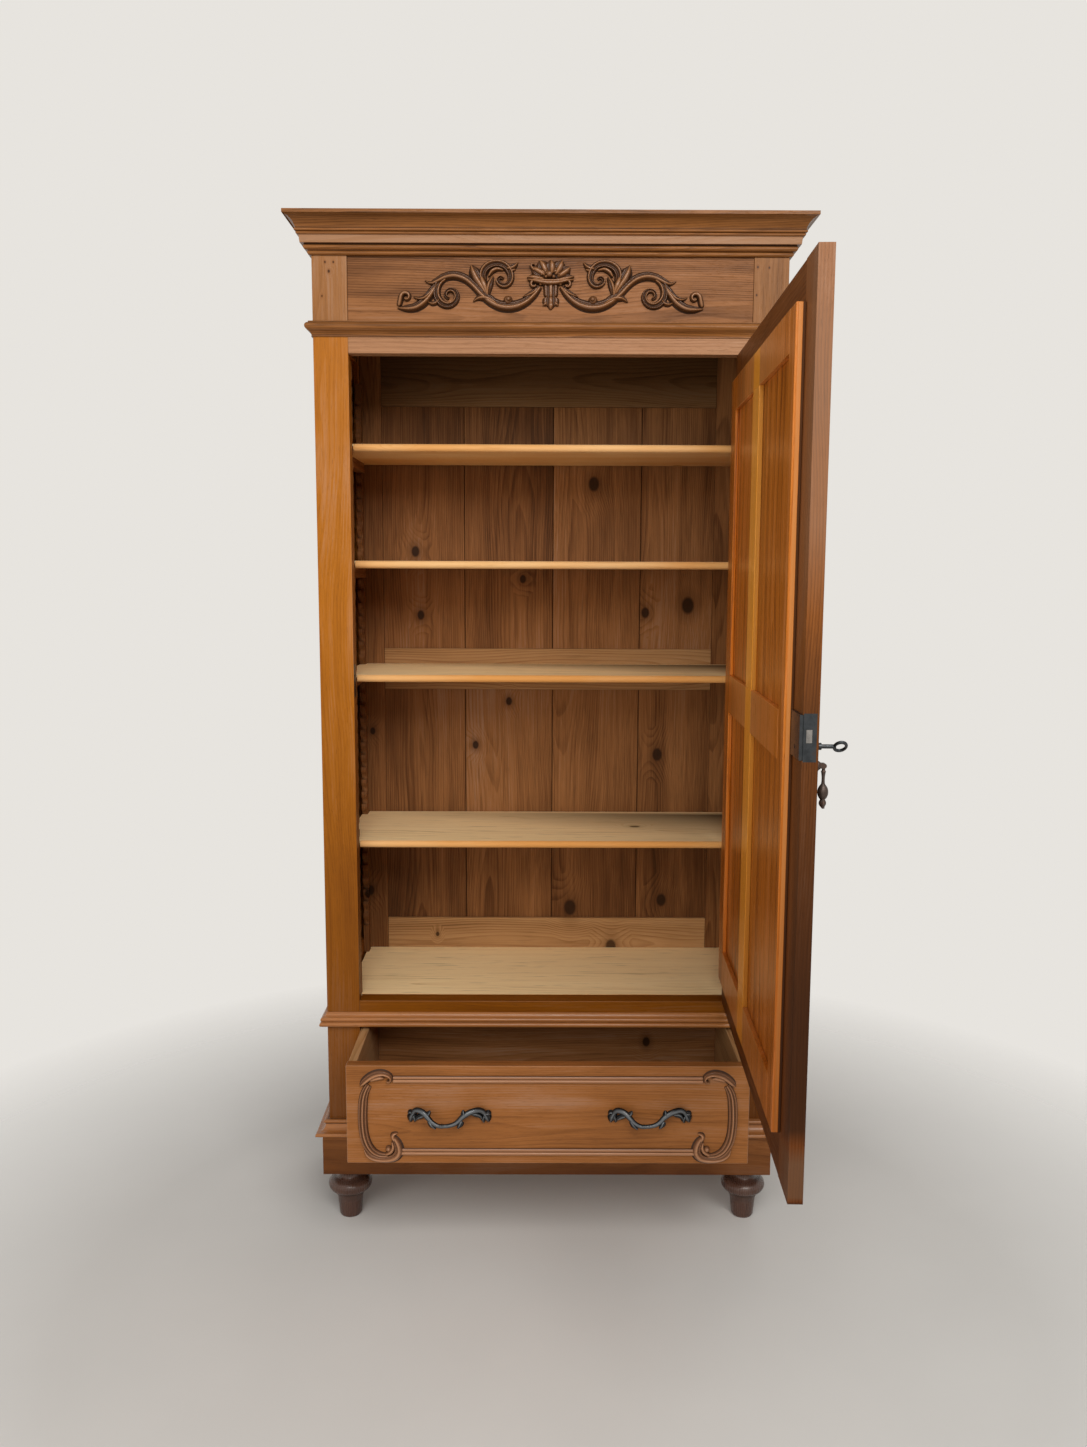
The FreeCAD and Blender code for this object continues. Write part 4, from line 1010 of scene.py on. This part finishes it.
class CUPBOARD_OT_backing(bpy.types.Operator):
    """Varnished frame and panels on the inside of the door"""

    bl_idname = "cupboard.backing"
    bl_label = "Door backing"

    def execute(self, context):
        edge = context.scene.cupboard.sizes.board_edge
        inward = Vector((-math.sin(DOOR_TURN), math.cos(DOOR_TURN), 0.0))
        depths = [inward @ v.co for v in NODES["backing_stiles"].data.vertices]
        ground, face = min(depths), max(depths)
        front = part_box("backing_stiles")[0].y
        width = Vector((math.cos(DOOR_TURN), math.sin(DOOR_TURN), 0.0))
        reaches = [width @ v.co for v in NODES["backing_muntins"].data.vertices]
        left, right = min(reaches), max(reaches)
        cuts = (0.3, 0.36, 0.7, 0.78)
        shadow_end, rub_and_highlight_end = 0.33, 0.74

        def beside(co):
            """Tells the halves of a rail from the stretch where the golden strip crosses it."""
            return not left < width @ co < right

        def cut_out(bm, keep):
            """Cuts the rails where the golden strip crosses them, keeps some parts and closes the cuts."""
            for place in (left, right):
                cut_line(bm, width * place, width)
            lost = [f for f in bm.faces if not keep(f.calc_center_median())]
            bmesh.ops.delete(bm, geom=lost, context="FACES")
            bmesh.ops.holes_fill(bm, edges=[e for e in bm.edges if e.is_boundary], sides=0)
            bmesh.ops.recalc_face_normals(bm, faces=bm.faces[:])

        def lines(bm):
            """Cuts lines along the stiles, close to the door frame and half way out."""
            for share in cuts:
                cut_line(bm, inward * (ground + share * (face - ground)), inward)

        def strip(co):
            """The outer edge of the free stile is rubbed bright with a painted highlight, and painted shadow
            lies along the door frame.
            """
            out = (inward @ co - ground) / (face - ground)
            if co.y >= front + 3.5 * MM or out >= rub_and_highlight_end:
                return 0.0
            return -1.0 if out < shadow_end else 1.0

        def sides(co):
            """The edges towards the panels are darker than the face."""
            return -0.55 if inward @ co < face - 0.6 * MM else 0.0

        mark(worked("backing_stiles", "varnished_backing", edge, shape=lines), "wear", strip)
        worked("backing_rails", "varnished_backing", edge / 2, along=2, shape=lambda bm: cut_out(bm, beside))
        bm = worked_copy("backing_rails", edge / 2)
        cut_out(bm, lambda co: not beside(co))
        mark_wear_and_shade(bm, 0.0)
        lay_grain(bm, "muntin_crossings", 2)
        piece("muntin_crossings", bm, BODY_OF["backing_rails"], "golden_backing")
        mark(worked("backing_muntins", "golden_backing", edge / 2), "wear", sides)
        worked("backing_panels", "varnished_backing", 0.0, along=2)
        return {"FINISHED"}


class CUPBOARD_OT_fittings(bpy.types.Operator):
    """Mirror, lock, key, drop pull and hinges"""

    bl_idname = "cupboard.fittings"
    bl_label = "Mirror, lock and hinges"

    def execute(self, context):
        coated("mirror", "looking_glass")
        for node in ("lock_case", "strike_plate", "key", "hinge_leaves_door", "hinge_leaves_post"):
            coated(node, "cast_iron")
        for node in ("keyhole_plate", "pull_boss", "drop_pull"):
            coated(node, "brown_iron")
        coated("lock_bolt", "worn_steel")
        return {"FINISHED"}


class CUPBOARD_OT_drawer_box(bpy.types.Operator):
    """Drawer front and the pine box behind it"""

    bl_idname = "cupboard.drawer_box"
    bl_label = "Drawer"

    def execute(self, context):
        edge = context.scene.cupboard.sizes.board_edge
        worked("drawer_front", "front_walnut", edge)
        worked("drawer_sides", "rail_pine", edge)
        for node in ("drawer_bottom", "drawer_back"):
            worked(node, "back_pine", edge)
        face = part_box("drawer_front")[0].y
        bead = 6.5 * MM

        def ridges(co):
            """The two rounds of a bead are rubbed, with a painted highlight, and dirt and painted shade lie
            beside and between them.
            """
            return spread((-0.9, -0.9, -0.8, 0.2, 1.0, 0.7), min(1.0, max(0.0, (face - co.y) / bead)))

        mark(worked("drawer_beads", "scroll_walnut", 0.0), "wear", ridges)
        return {"FINISHED"}


class CUPBOARD_OT_frieze_scrolls(bpy.types.Operator):
    """Carved leaf scrolls of the frieze"""

    bl_idname = "cupboard.frieze_scrolls"
    bl_label = "Frieze scrolls"

    def execute(self, context):
        sizes = context.scene.cupboard.sizes
        relief = sizes.scroll_relief
        middle = face_middle("frieze_board")
        bm = bmesh.new()
        band = partial(carve, bm, middle, relief, sizes.carving_step, swell=1.2)
        band(((-243, 23.5), (-232, 17.6), (-219.5, 21.6), (-203.5, 29.3), (-184.5, 32.2), (-165, 26.7),
              (-149, 14.7), (-132.5, -2.2), (-115, -15.8), (-95, -24.2), (-73, -24.9), (-52, -18), (-35, -5),
              (-19.5, 12.8)), (1.6, 8, 10.5, 11.5, 11.5, 10.5, 10.5, 11.5, 13, 14, 14, 12, 10.5, 6.5),
             (0.45, 0.8, 0.9, 1, 0.95, 0.85, 0.8, 0.8, 0.85, 0.9, 0.9, 0.85, 0.8, 0.6), LEAF)
        band(((-296, -28.3), (-279.5, -29.4), (-262.5, -27.7), (-247.5, -19.6), (-235.5, -7.4), (-226, 6.7),
              (-219.5, 17.6)), (2.5, 9, 11.5, 12.5, 11.5, 10, 5.5), (0.5, 0.85, 0.95, 0.95, 0.85, 0.75, 0.6),
             LEAF)
        band(((-293, -25.8), (-290, -15), (-287.5, -4.4), (-280, -0.4), (-272.5, -4.4), (-272, -11.6),
              (-278.5, -14.5), (-282.5, -10)), (6.5, 7.5, 7.5, 7.5, 7, 6, 5.3, 4),
             (0.7, 0.85, 0.95, 0.95, 0.95, 0.95, 0.95, 0.9), DOME)
        band(((-265, -6.7), (-255, -11.5), (-244, -9.9), (-234, -1.8), (-226, 8.7)), (1.6, 6.5, 8, 7.5, 4),
             (0.45, 0.9, 1, 0.9, 0.7), LEAF)
        band(((-237.5, -16.3), (-229, -20.3), (-220, -17.9), (-215.5, -11.4)), (1.6, 6.5, 6.5, 3.3),
             (0.4, 0.8, 0.8, 0.6), LEAF)
        band(((-202.5, 28.1), (-213.5, 20), (-219.5, 7.1), (-219, -7.4), (-210.5, -19.4), (-197, -23.8),
              (-184.5, -17.7), (-180.3, -6.4), (-185.3, 3.3), (-194.5, 5.6), (-202, 0), (-201.3, -8.9),
              (-194.5, -11.3)), (8, 10, 10, 10, 10, 10, 9, 8, 7.8, 7, 6, 5.3, 4.5),
             (0.7, 0.9, 1, 1, 1, 1, 1, 1, 0.95, 0.95, 0.95, 0.95, 0.9), GOUGE)
        band(((-153, 52.4), (-148, 40.4), (-141, 26.8), (-131.5, 12.3), (-124, -1.3)), (2, 14, 17, 13, 6),
             (0.5, 1, 1, 0.9, 0.7), LEAF)
        band(((-134, 30), (-130, 18.8), (-125, 6.7), (-121.5, -5.3)), (6, 11, 9, 4), (0.8, 1.1, 1.0, 0.7),
             DOME)
        band(((-110, 31), (-116, 20.5), (-120, 7.6), (-121, -5.3)), (3.3, 10, 9, 4), (0.6, 1.05, 1.0, 0.7),
             LEAF)
        band(((-128, 20.4), (-131, 33.2), (-125.5, 45.3), (-113, 53), (-98, 54.2), (-85, 48), (-77.3, 36),
              (-77.3, 22.2), (-86.5, 13.3), (-98, 15.7), (-102.5, 23.7), (-96.5, 29.4), (-90, 25.4)),
             (7.5, 10.5, 11.5, 11.5, 10.5, 10.5, 10, 9, 8, 7.5, 6.5, 5.3, 4.5),
             (0.8, 1, 1.05, 1.05, 1, 1, 1, 1, 0.95, 0.95, 0.95, 0.95, 0.9), GOUGE)
        band(((-120, 29.3), (-113, 39.7), (-101.5, 44.6), (-90, 41.4)), (3.3, 6.5, 6.5, 2.5),
             (0.7, 0.95, 0.9, 0.6), DOME)
        band(((-85, 45.5), (-76.5, 46.3), (-69, 50.4), (-62.5, 57.6)), (6.5, 8, 7.5, 1.6),
             (0.85, 0.95, 0.8, 0.4), LEAF)
        band(((-79, 41.5), (-73, 41.5), (-66.5, 44.8)), (3.3, 5, 1.6), (0.7, 0.7, 0.4), DOME)
        band(((-150, -16.8), (-140, -9.4), (-126.5, -7.8), (-114, -12.6), (-103.5, -19.8)),
             (1.6, 9, 11.5, 10, 5), (0.4, 0.85, 0.95, 0.9, 0.7), LEAF)
        band(((-54, -6.7), (-43.5, -3.4), (-33.5, 1.5), (-23, 10.4)), (1.6, 6.5, 7.5, 4),
             (0.4, 0.8, 0.85, 0.7), LEAF)
        band(((-18.5, 13.6), (-20.5, 20.9), (-27, 24.8), (-35.5, 22.4), (-39, 16), (-34.5, 10.3), (-28.5, 12),
              (-29.5, 16)), (5.5, 6.5, 6.5, 6.5, 6, 5.5, 5, 3.7), (0.7, 0.85, 0.9, 0.9, 0.9, 0.9, 0.9, 0.85),
             DOME)
        knob(bm, on_face(middle, -82, -13.5), 9.8 * MM, relief * 1.1)
        knob(bm, on_face(middle, -81, -13, relief * 0.7), 5 * MM, relief * 0.65)
        carved_piece("frieze_scrolls_carved", bm, "carved_scrolls", "carved_walnut", True)
        return {"FINISHED"}


class CUPBOARD_OT_flower_basket(bpy.types.Operator):
    """Carved basket of flowers in the middle of the frieze"""

    bl_idname = "cupboard.flower_basket"
    bl_label = "Flower basket"

    def execute(self, context):
        sizes = context.scene.cupboard.sizes
        relief = sizes.flower_relief
        middle = face_middle("frieze_board")
        bm = bmesh.new()
        band = partial(carve, bm, middle, relief, sizes.carving_step)
        band(((-34, 29), (-18, 33), (0, 35), (18, 33), (34, 29)), (5, 16, 22, 16, 5),
             (0.2, 0.35, 0.4, 0.35, 0.2), DOME)
        wear = layer(bm, "wear")
        for v in bm.verts:
            v[wear] = -1.0
        petals = (((-22, 61), (-8, 33), 22, 0.9), ((23, 61), (8, 33), 22, 0.9),
                  ((38, 48), (12, 30), 20, 0.85), ((-37, 46), (-11, 31), 20, 0.85),
                  ((46, 31), (10, 24), 15, 0.8), ((-46, 29), (-12, 24), 16, 0.8),
                  ((0.5, 62), (1, 34), 22, 1.0))
        for tip, root, wide, share in petals:
            line = [between(root, tip, k) for k in (0, 0.35, 0.7, 1.0)]
            band(line, (wide * 0.5, wide, wide * 0.95, 2), (0.8, share, share, 0.5), LEAF)
        band(((-30, 40), (-35, 45), (-39, 50), (-35, 54), (-30, 52)), (5, 6, 6, 5.5, 3),
             (0.8, 0.85, 0.85, 0.8, 0.6), DOME)
        for x in (-13, 12, 24, -24):
            rise = 52 - abs(x) * 0.35 - 30
            line = [(x * k, 30 + rise * k) for k in (0.35, 0.7, 1.0)]
            band(line, (4, 7, 1.6), (0.75, 0.8, 0.5), DOME)
        band(((-45, 25), (-28, 21.5), (-10, 18.5), (0, 18), (12, 18.5), (28, 21.5), (45, 25)),
             (3, 7, 9, 9.5, 9, 7, 3), (0.6, 0.95, 1.0, 1.0, 1.0, 0.95, 0.6), DOME)
        band(((-40, 24), (-20, 22.5), (0, 21.5), (20, 22.5), (40, 24)), (3, 6, 7, 6, 3),
             (0.7, 1.05, 1.1, 1.05, 0.7), DOME)
        band(((0.5, 16), (0.5, 8), (0.5, -2), (0.5, -8)), (28, 27, 26, 26), (0.62, 0.6, 0.6, 0.55), REEDS)
        band(((0.5, -6), (0.5, -13), (0.5, -20), (0.5, -24)), (27, 31, 30, 20), (0.55, 0.66, 0.6, 0.45),
             REEDS)
        band(((0.5, -18), (0.5, -25), (0.5, -31.5)), (14, 12, 2), (0.6, 0.6, 0.35), DOME)
        for side in (-1, 1):
            line = [(0.5 + side * x, z) for x, z in ((7, -18), (12, -21), (15.5, -23.5))]
            band(line, (6, 6, 2), (0.6, 0.55, 0.3), DOME)
        seeds = ((-2.5, 34, 7.5), (-10, 39, 4.4), (9, 39, 4.4), (-9, 29, 4), (6, 29, 4.2), (16, 33, 3.6),
                 (-17, 33, 3.4))
        for x, z, radius in seeds:
            knob(bm, on_face(middle, x, z, relief * 0.42), radius * MM, relief * 0.58)
        carved_piece("flower_basket_carved", bm, "carved_basket", "carved_walnut", False)
        return {"FINISHED"}


class CUPBOARD_OT_drawer_scrolls(bpy.types.Operator):
    """C scrolls with leaves at both ends of the drawer front"""

    bl_idname = "cupboard.drawer_scrolls"
    bl_label = "Drawer scrolls"

    def execute(self, context):
        sizes = context.scene.cupboard.sizes
        relief = sizes.drawer_relief
        left = (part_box("drawer_front")[0].x, *face_middle("drawer_front")[1:])
        bm = bmesh.new()
        band = partial(carve, bm, left, relief, sizes.carving_step)
        band(((45, 62), (38.5, 50), (34, 34), (32, 8), (32, -18), (35, -44), (42, -63.5), (53.5, -77),
              (67.5, -83), (81, -82)), (12, 15, 17, 17, 17, 17, 17, 16, 14, 9),
             (0.6, 0.85, 0.9, 0.9, 0.9, 0.9, 0.9, 0.9, 0.8, 0.6), REEDS)
        band(((28, 59.5), (37, 69), (47, 77.5), (57.5, 83), (69, 85.5), (80.5, 83.5), (88.5, 77), (88, 70),
              (82, 67.5), (79, 71)), (3, 11, 12.5, 13, 13, 12, 10, 8, 6.5, 5),
             (0.5, 0.95, 1.0, 1.05, 1.05, 1.05, 1.0, 1.0, 1.0, 0.9), LEAF)
        band(((47, 70), (56, 74.5), (66, 77), (75, 75.5)), (4, 8.5, 9, 3), (0.6, 0.85, 0.9, 0.5), DOME)
        band(((34, -69), (40, -80), (52, -87.5), (67.5, -90), (83, -89), (95, -84), (101, -73), (98.5, -58),
              (92.5, -47), (86, -42)), (2, 8, 9.5, 11, 13.5, 16, 17, 15, 11.5, 5),
             (0.4, 0.8, 0.9, 0.95, 1.0, 1.05, 1.05, 1.0, 0.9, 0.6), LEAF)
        band(((95, -52), (90, -44), (90, -38.5), (100, -36)), (5, 9, 8, 2), (0.8, 1.0, 0.9, 0.4), DOME)
        band(((74, -80), (86, -74), (91, -64), (88, -54)), (3, 8, 8, 3), (0.7, 1.0, 1.0, 0.6), DOME)
        knob(bm, on_face(left, 81.5, -68), 6.5 * MM, relief)
        carved_piece("drawer_scrolls_carved", bm, "drawer_scrolls", "scroll_walnut", True)
        return {"FINISHED"}


# Where the two pulls sit, in shares of half the drawer's width.
PULL_PLACES = (-0.4866, 0.507)


class CUPBOARD_OT_drawer_pulls(bpy.types.Operator):
    """Cast bow pulls of the drawer with leaf feet"""

    bl_idname = "cupboard.drawer_pulls"
    bl_label = "Drawer pulls"

    def execute(self, context):
        bow = context.scene.cupboard.sizes.bow / MM
        middle = face_middle("drawer_front")
        low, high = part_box("drawer_front")
        half = (high.x - low.x) / 2
        step = 3.5 * MM
        bm = bmesh.new()
        for share in PULL_PLACES:
            origin = (share * half, *middle[1:])

            def cast(line, widths, heights, section=LEAF):
                """Places as millimetres along, out and up from the middle of the pull."""
                places = [on_face(origin, u, z, out * MM) for u, out, z in line]
                strand(bm, path_through(places, step), [w * MM for w in widths], [h * MM for h in heights],
                       section)

            widths = (0.8, 1.05, 1.1, 1.1, 1.1, 1, 0.9, 0.8, 0.75, 0.8, 0.9, 1, 1.1, 1.1, 1.1, 1, 0.8)
            flatness = (2.4, 2, 2, 2.4, 2.6, 2.4, 2, 2, 2.4)
            cast(((-72, 3, -4), (-71, 5, 6), (-65, 9, 13.5), (-57, 14, 15), (-48.5, 18, 12), (-40, 22, 4),
                  (-31, 25, -4.5), (-20, 27, -9.5), (-8, 28, -9.5), (6, 27, -7.5), (16, 25, -3),
                  (25, 22, 5.5), (35, 19, 11.5), (47, 15, 15), (58, 10, 14.5), (66.5, 6, 8), (70.5, 3, -3)),
                 [bow * w for w in widths], [bow / f for f in flatness], ROUND)
            for side, (x, z), (x1, z1), (x2, z2) in ((-1, (-69, 2), (-75, -6), (-76, -13)),
                                                     (1, (68, 1), (74, -6), (76, -13))):
                cast(((x, 3, z + 6), (x1, 3, z1), (x2, 1, z2)), (9, 14, 3), (8, 7, 3))
                cast(((x, 3, z), (x - side * 3, 3, z - 9), (x - side, 1, z - 15)), (7, 10, 2), (7, 6, 3))
                cast(((x, 3, z + 4), (x + side * 8, 2, z + 5), (x + side * 11, 1, z)), (6, 9, 2), (7, 6, 3))
            cast(((-66, 6, -8), (-62, 9, -1.5), (-54, 13, 4), (-46, 16, 7)), (3, 8, 9, 4), (3, 5, 5, 4))
            cast(((64, 6, -6), (59, 8, 2), (52, 11, 6.5), (42, 15, 9)), (3, 8, 9, 4), (3, 5, 5, 4))
            cast(((-46, 18, 9), (-39.5, 20, 12), (-36, 20, 19)), (8, 8, 2), (6, 6, 3))
            cast(((30, 19, 8), (27.5, 20, 13), (27, 19, 20)), (8, 8, 2), (6, 6, 3))
            cast(((-39, 22, 0), (-31, 24, -10), (-25, 24, -17)), (7, 10, 2), (5, 6, 3))
            cast(((25, 22, -1), (21, 24, -9), (16, 24, -16)), (7, 10, 2), (5, 6, 3))
            for along, radius in ((-17, 5.2), (-13.5, 6.2), (-10, 5.2), (-3, 5.6)):
                cast([(along + u, 28, -9.5) for u in (-1.4, 0, 1.4)],
                     (radius * 1.5, radius * 2, radius * 1.5), (radius * 0.75, radius, radius * 0.75), ROUND)
        carved_piece("drawer_pulls_cast", bm, "drawer_pulls", "cast_iron", False)
        return {"FINISHED"}


# Lamps: name, place, width and height of the lit face, and whether polished surfaces show it.
LAMPS = (
    ("key", (0.5, -2.6, 2.9), 2.4, 1.6, True),
    ("fill", (-1.4, -2.7, 1.3), 2.8, 2.0, False),
    ("back", (0.9, 3.6, 2.3), 2.8, 2.0, False),
)
LAMP_COLOUR = (1.0, 0.97, 0.92)
LAMP_AIM = Vector((0, 0.35, 1.0))
SKY_COLOUR = (1.0, 0.985, 0.96)
FLOOR_RADIUS = 5.0
FLOOR_FADE = (0.9, 1.8)
FLOOR_GAP = 0.5 * MM
SENSOR = 36.0


def lay_floor(scene, stage):
    """A plain floor that fades into the backdrop."""
    f = Finish("studio_floor")
    spot = f.place()
    cloud = f.noise(spot, 4.0, scale=2.2)
    tint = f.mix(f.span(cloud, 0.3, 0.7, 0.0, 0.10), solid(stage.floor), darker(stage.floor, 0.5))
    f.surface(Base_Color=tint, Roughness=0.8)
    far = f.span(f.length(spot), *FLOOR_FADE)
    fade = f.put("MixShader", {0: far, 1: f.shader.outputs[0], 2: f.put("BsdfTransparent", {})})
    f.feed(f.tree.nodes["Material Output"].inputs[0], fade)
    bm = bmesh.new()
    place = Matrix.Translation((0, 0, CAD_BOX[0].z - FLOOR_GAP))
    bmesh.ops.create_circle(bm, cap_ends=True, radius=FLOOR_RADIUS, segments=96, matrix=place)
    mesh = bpy.data.meshes.new("floor")
    bm.to_mesh(mesh)
    bm.free()
    mesh.materials.append(f.material)
    floor = bpy.data.objects.new("floor", mesh)
    scene.collection.objects.link(floor)


def light_sky(scene, stage):
    """Weak light from all round, and a pale backdrop where it is seen."""
    world = bpy.data.worlds.new("studio")
    world.use_nodes = True
    n = Nodes(world.node_tree)
    light = n.tree.nodes["Background"]
    light.inputs[0].default_value = solid(SKY_COLOUR)
    light.inputs[1].default_value = stage.sky
    seen = 0.0
    for ray in ("Is Camera Ray", "Is Glossy Ray", "Is Transmission Ray"):
        seen = n.math("MAXIMUM", seen, n.put("LightPath", {}, ray))
    backdrop = n.put("Background", {0: solid(stage.backdrop)})
    n.feed(n.tree.nodes["World Output"].inputs[0], n.put("MixShader",
                                                         {0: seen, 1: light.outputs[0], 2: backdrop}))
    scene.world = world


def hang_lamps(scene, stage):
    """Soft lamps in front and behind."""
    for name, place, wide, tall, mirrored in LAMPS:
        lamp = bpy.data.lights.new(name, "AREA")
        lamp.shape = "RECTANGLE"
        lamp.size = wide
        lamp.size_y = tall
        lamp.energy = getattr(stage, name)
        lamp.color = LAMP_COLOUR
        obj = bpy.data.objects.new(name, lamp)
        obj.location = place
        obj.rotation_euler = (LAMP_AIM - Vector(place)).to_track_quat("-Z", "Y").to_euler()
        obj.visible_glossy = mirrored
        obj.visible_camera = False
        scene.collection.objects.link(obj)


def set_camera(scene, stage):
    """The camera where the photographer stood."""
    eye = bpy.data.cameras.new("camera")
    eye.lens = stage.lens
    eye.sensor_width = SENSOR
    camera = bpy.data.objects.new("camera", eye)
    turn = Matrix.Rotation(-stage.heading, 4, "Z") @ Matrix.Rotation(math.pi / 2 - stage.tilt, 4, "X")
    camera.matrix_world = Matrix.Translation(stage.eye) @ turn @ Matrix.Rotation(stage.roll, 4, "Z")
    scene.collection.objects.link(camera)
    scene.camera = camera


class CUPBOARD_OT_stage(bpy.types.Operator):
    """Floor, light and camera"""

    bl_idname = "cupboard.stage"
    bl_label = "Stage"

    def execute(self, context):
        scene = context.scene
        scene.view_settings.view_transform = "Standard"
        for step in (lay_floor, light_sky, hang_lamps, set_camera):
            step(scene, scene.cupboard.stage)
        return {"FINISHED"}


class CUPBOARD_PT_panel(bpy.types.Panel):
    """Lists the steps that dress the cupboard"""

    bl_idname = "CUPBOARD_PT_panel"
    bl_label = "Linen cupboard"
    bl_space_type = "VIEW_3D"
    bl_region_type = "UI"
    bl_category = "Cupboard"

    def draw(self, context):
        for step in STEPS:
            self.layout.operator(step.bl_idname)
        for group in ("woods", "metals", "sizes", "stage"):
            box = self.layout.box()
            settings = getattr(context.scene.cupboard, group)
            for name in settings.__annotations__:
                box.prop(settings, name)


STEPS = (
    CUPBOARD_OT_carcass,
    CUPBOARD_OT_mouldings,
    CUPBOARD_OT_feet,
    CUPBOARD_OT_back,
    CUPBOARD_OT_shelves,
    CUPBOARD_OT_door_frame,
    CUPBOARD_OT_backing,
    CUPBOARD_OT_fittings,
    CUPBOARD_OT_drawer_box,
    CUPBOARD_OT_frieze_scrolls,
    CUPBOARD_OT_flower_basket,
    CUPBOARD_OT_drawer_scrolls,
    CUPBOARD_OT_drawer_pulls,
    CUPBOARD_OT_stage,
)
GROUPS = (CupboardWoods, CupboardMetals, CupboardSizes, CupboardStage, CupboardSettings)
CLASSES = GROUPS + STEPS + (CUPBOARD_PT_panel,)


def register():
    """Adds the classes and the settings."""
    for item in CLASSES:
        bpy.utils.register_class(item)
    bpy.types.Scene.cupboard = PointerProperty(type=CupboardSettings)


def unregister():
    """Takes the settings and the classes away."""
    del bpy.types.Scene.cupboard
    for item in reversed(CLASSES):
        bpy.utils.unregister_class(item)


def main():
    """Dresses the frame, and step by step."""
    register()
    for step in STEPS:
        group, name = step.bl_idname.split(".")
        getattr(getattr(bpy.ops, group), name)()


if __name__ == "__main__":
    main()
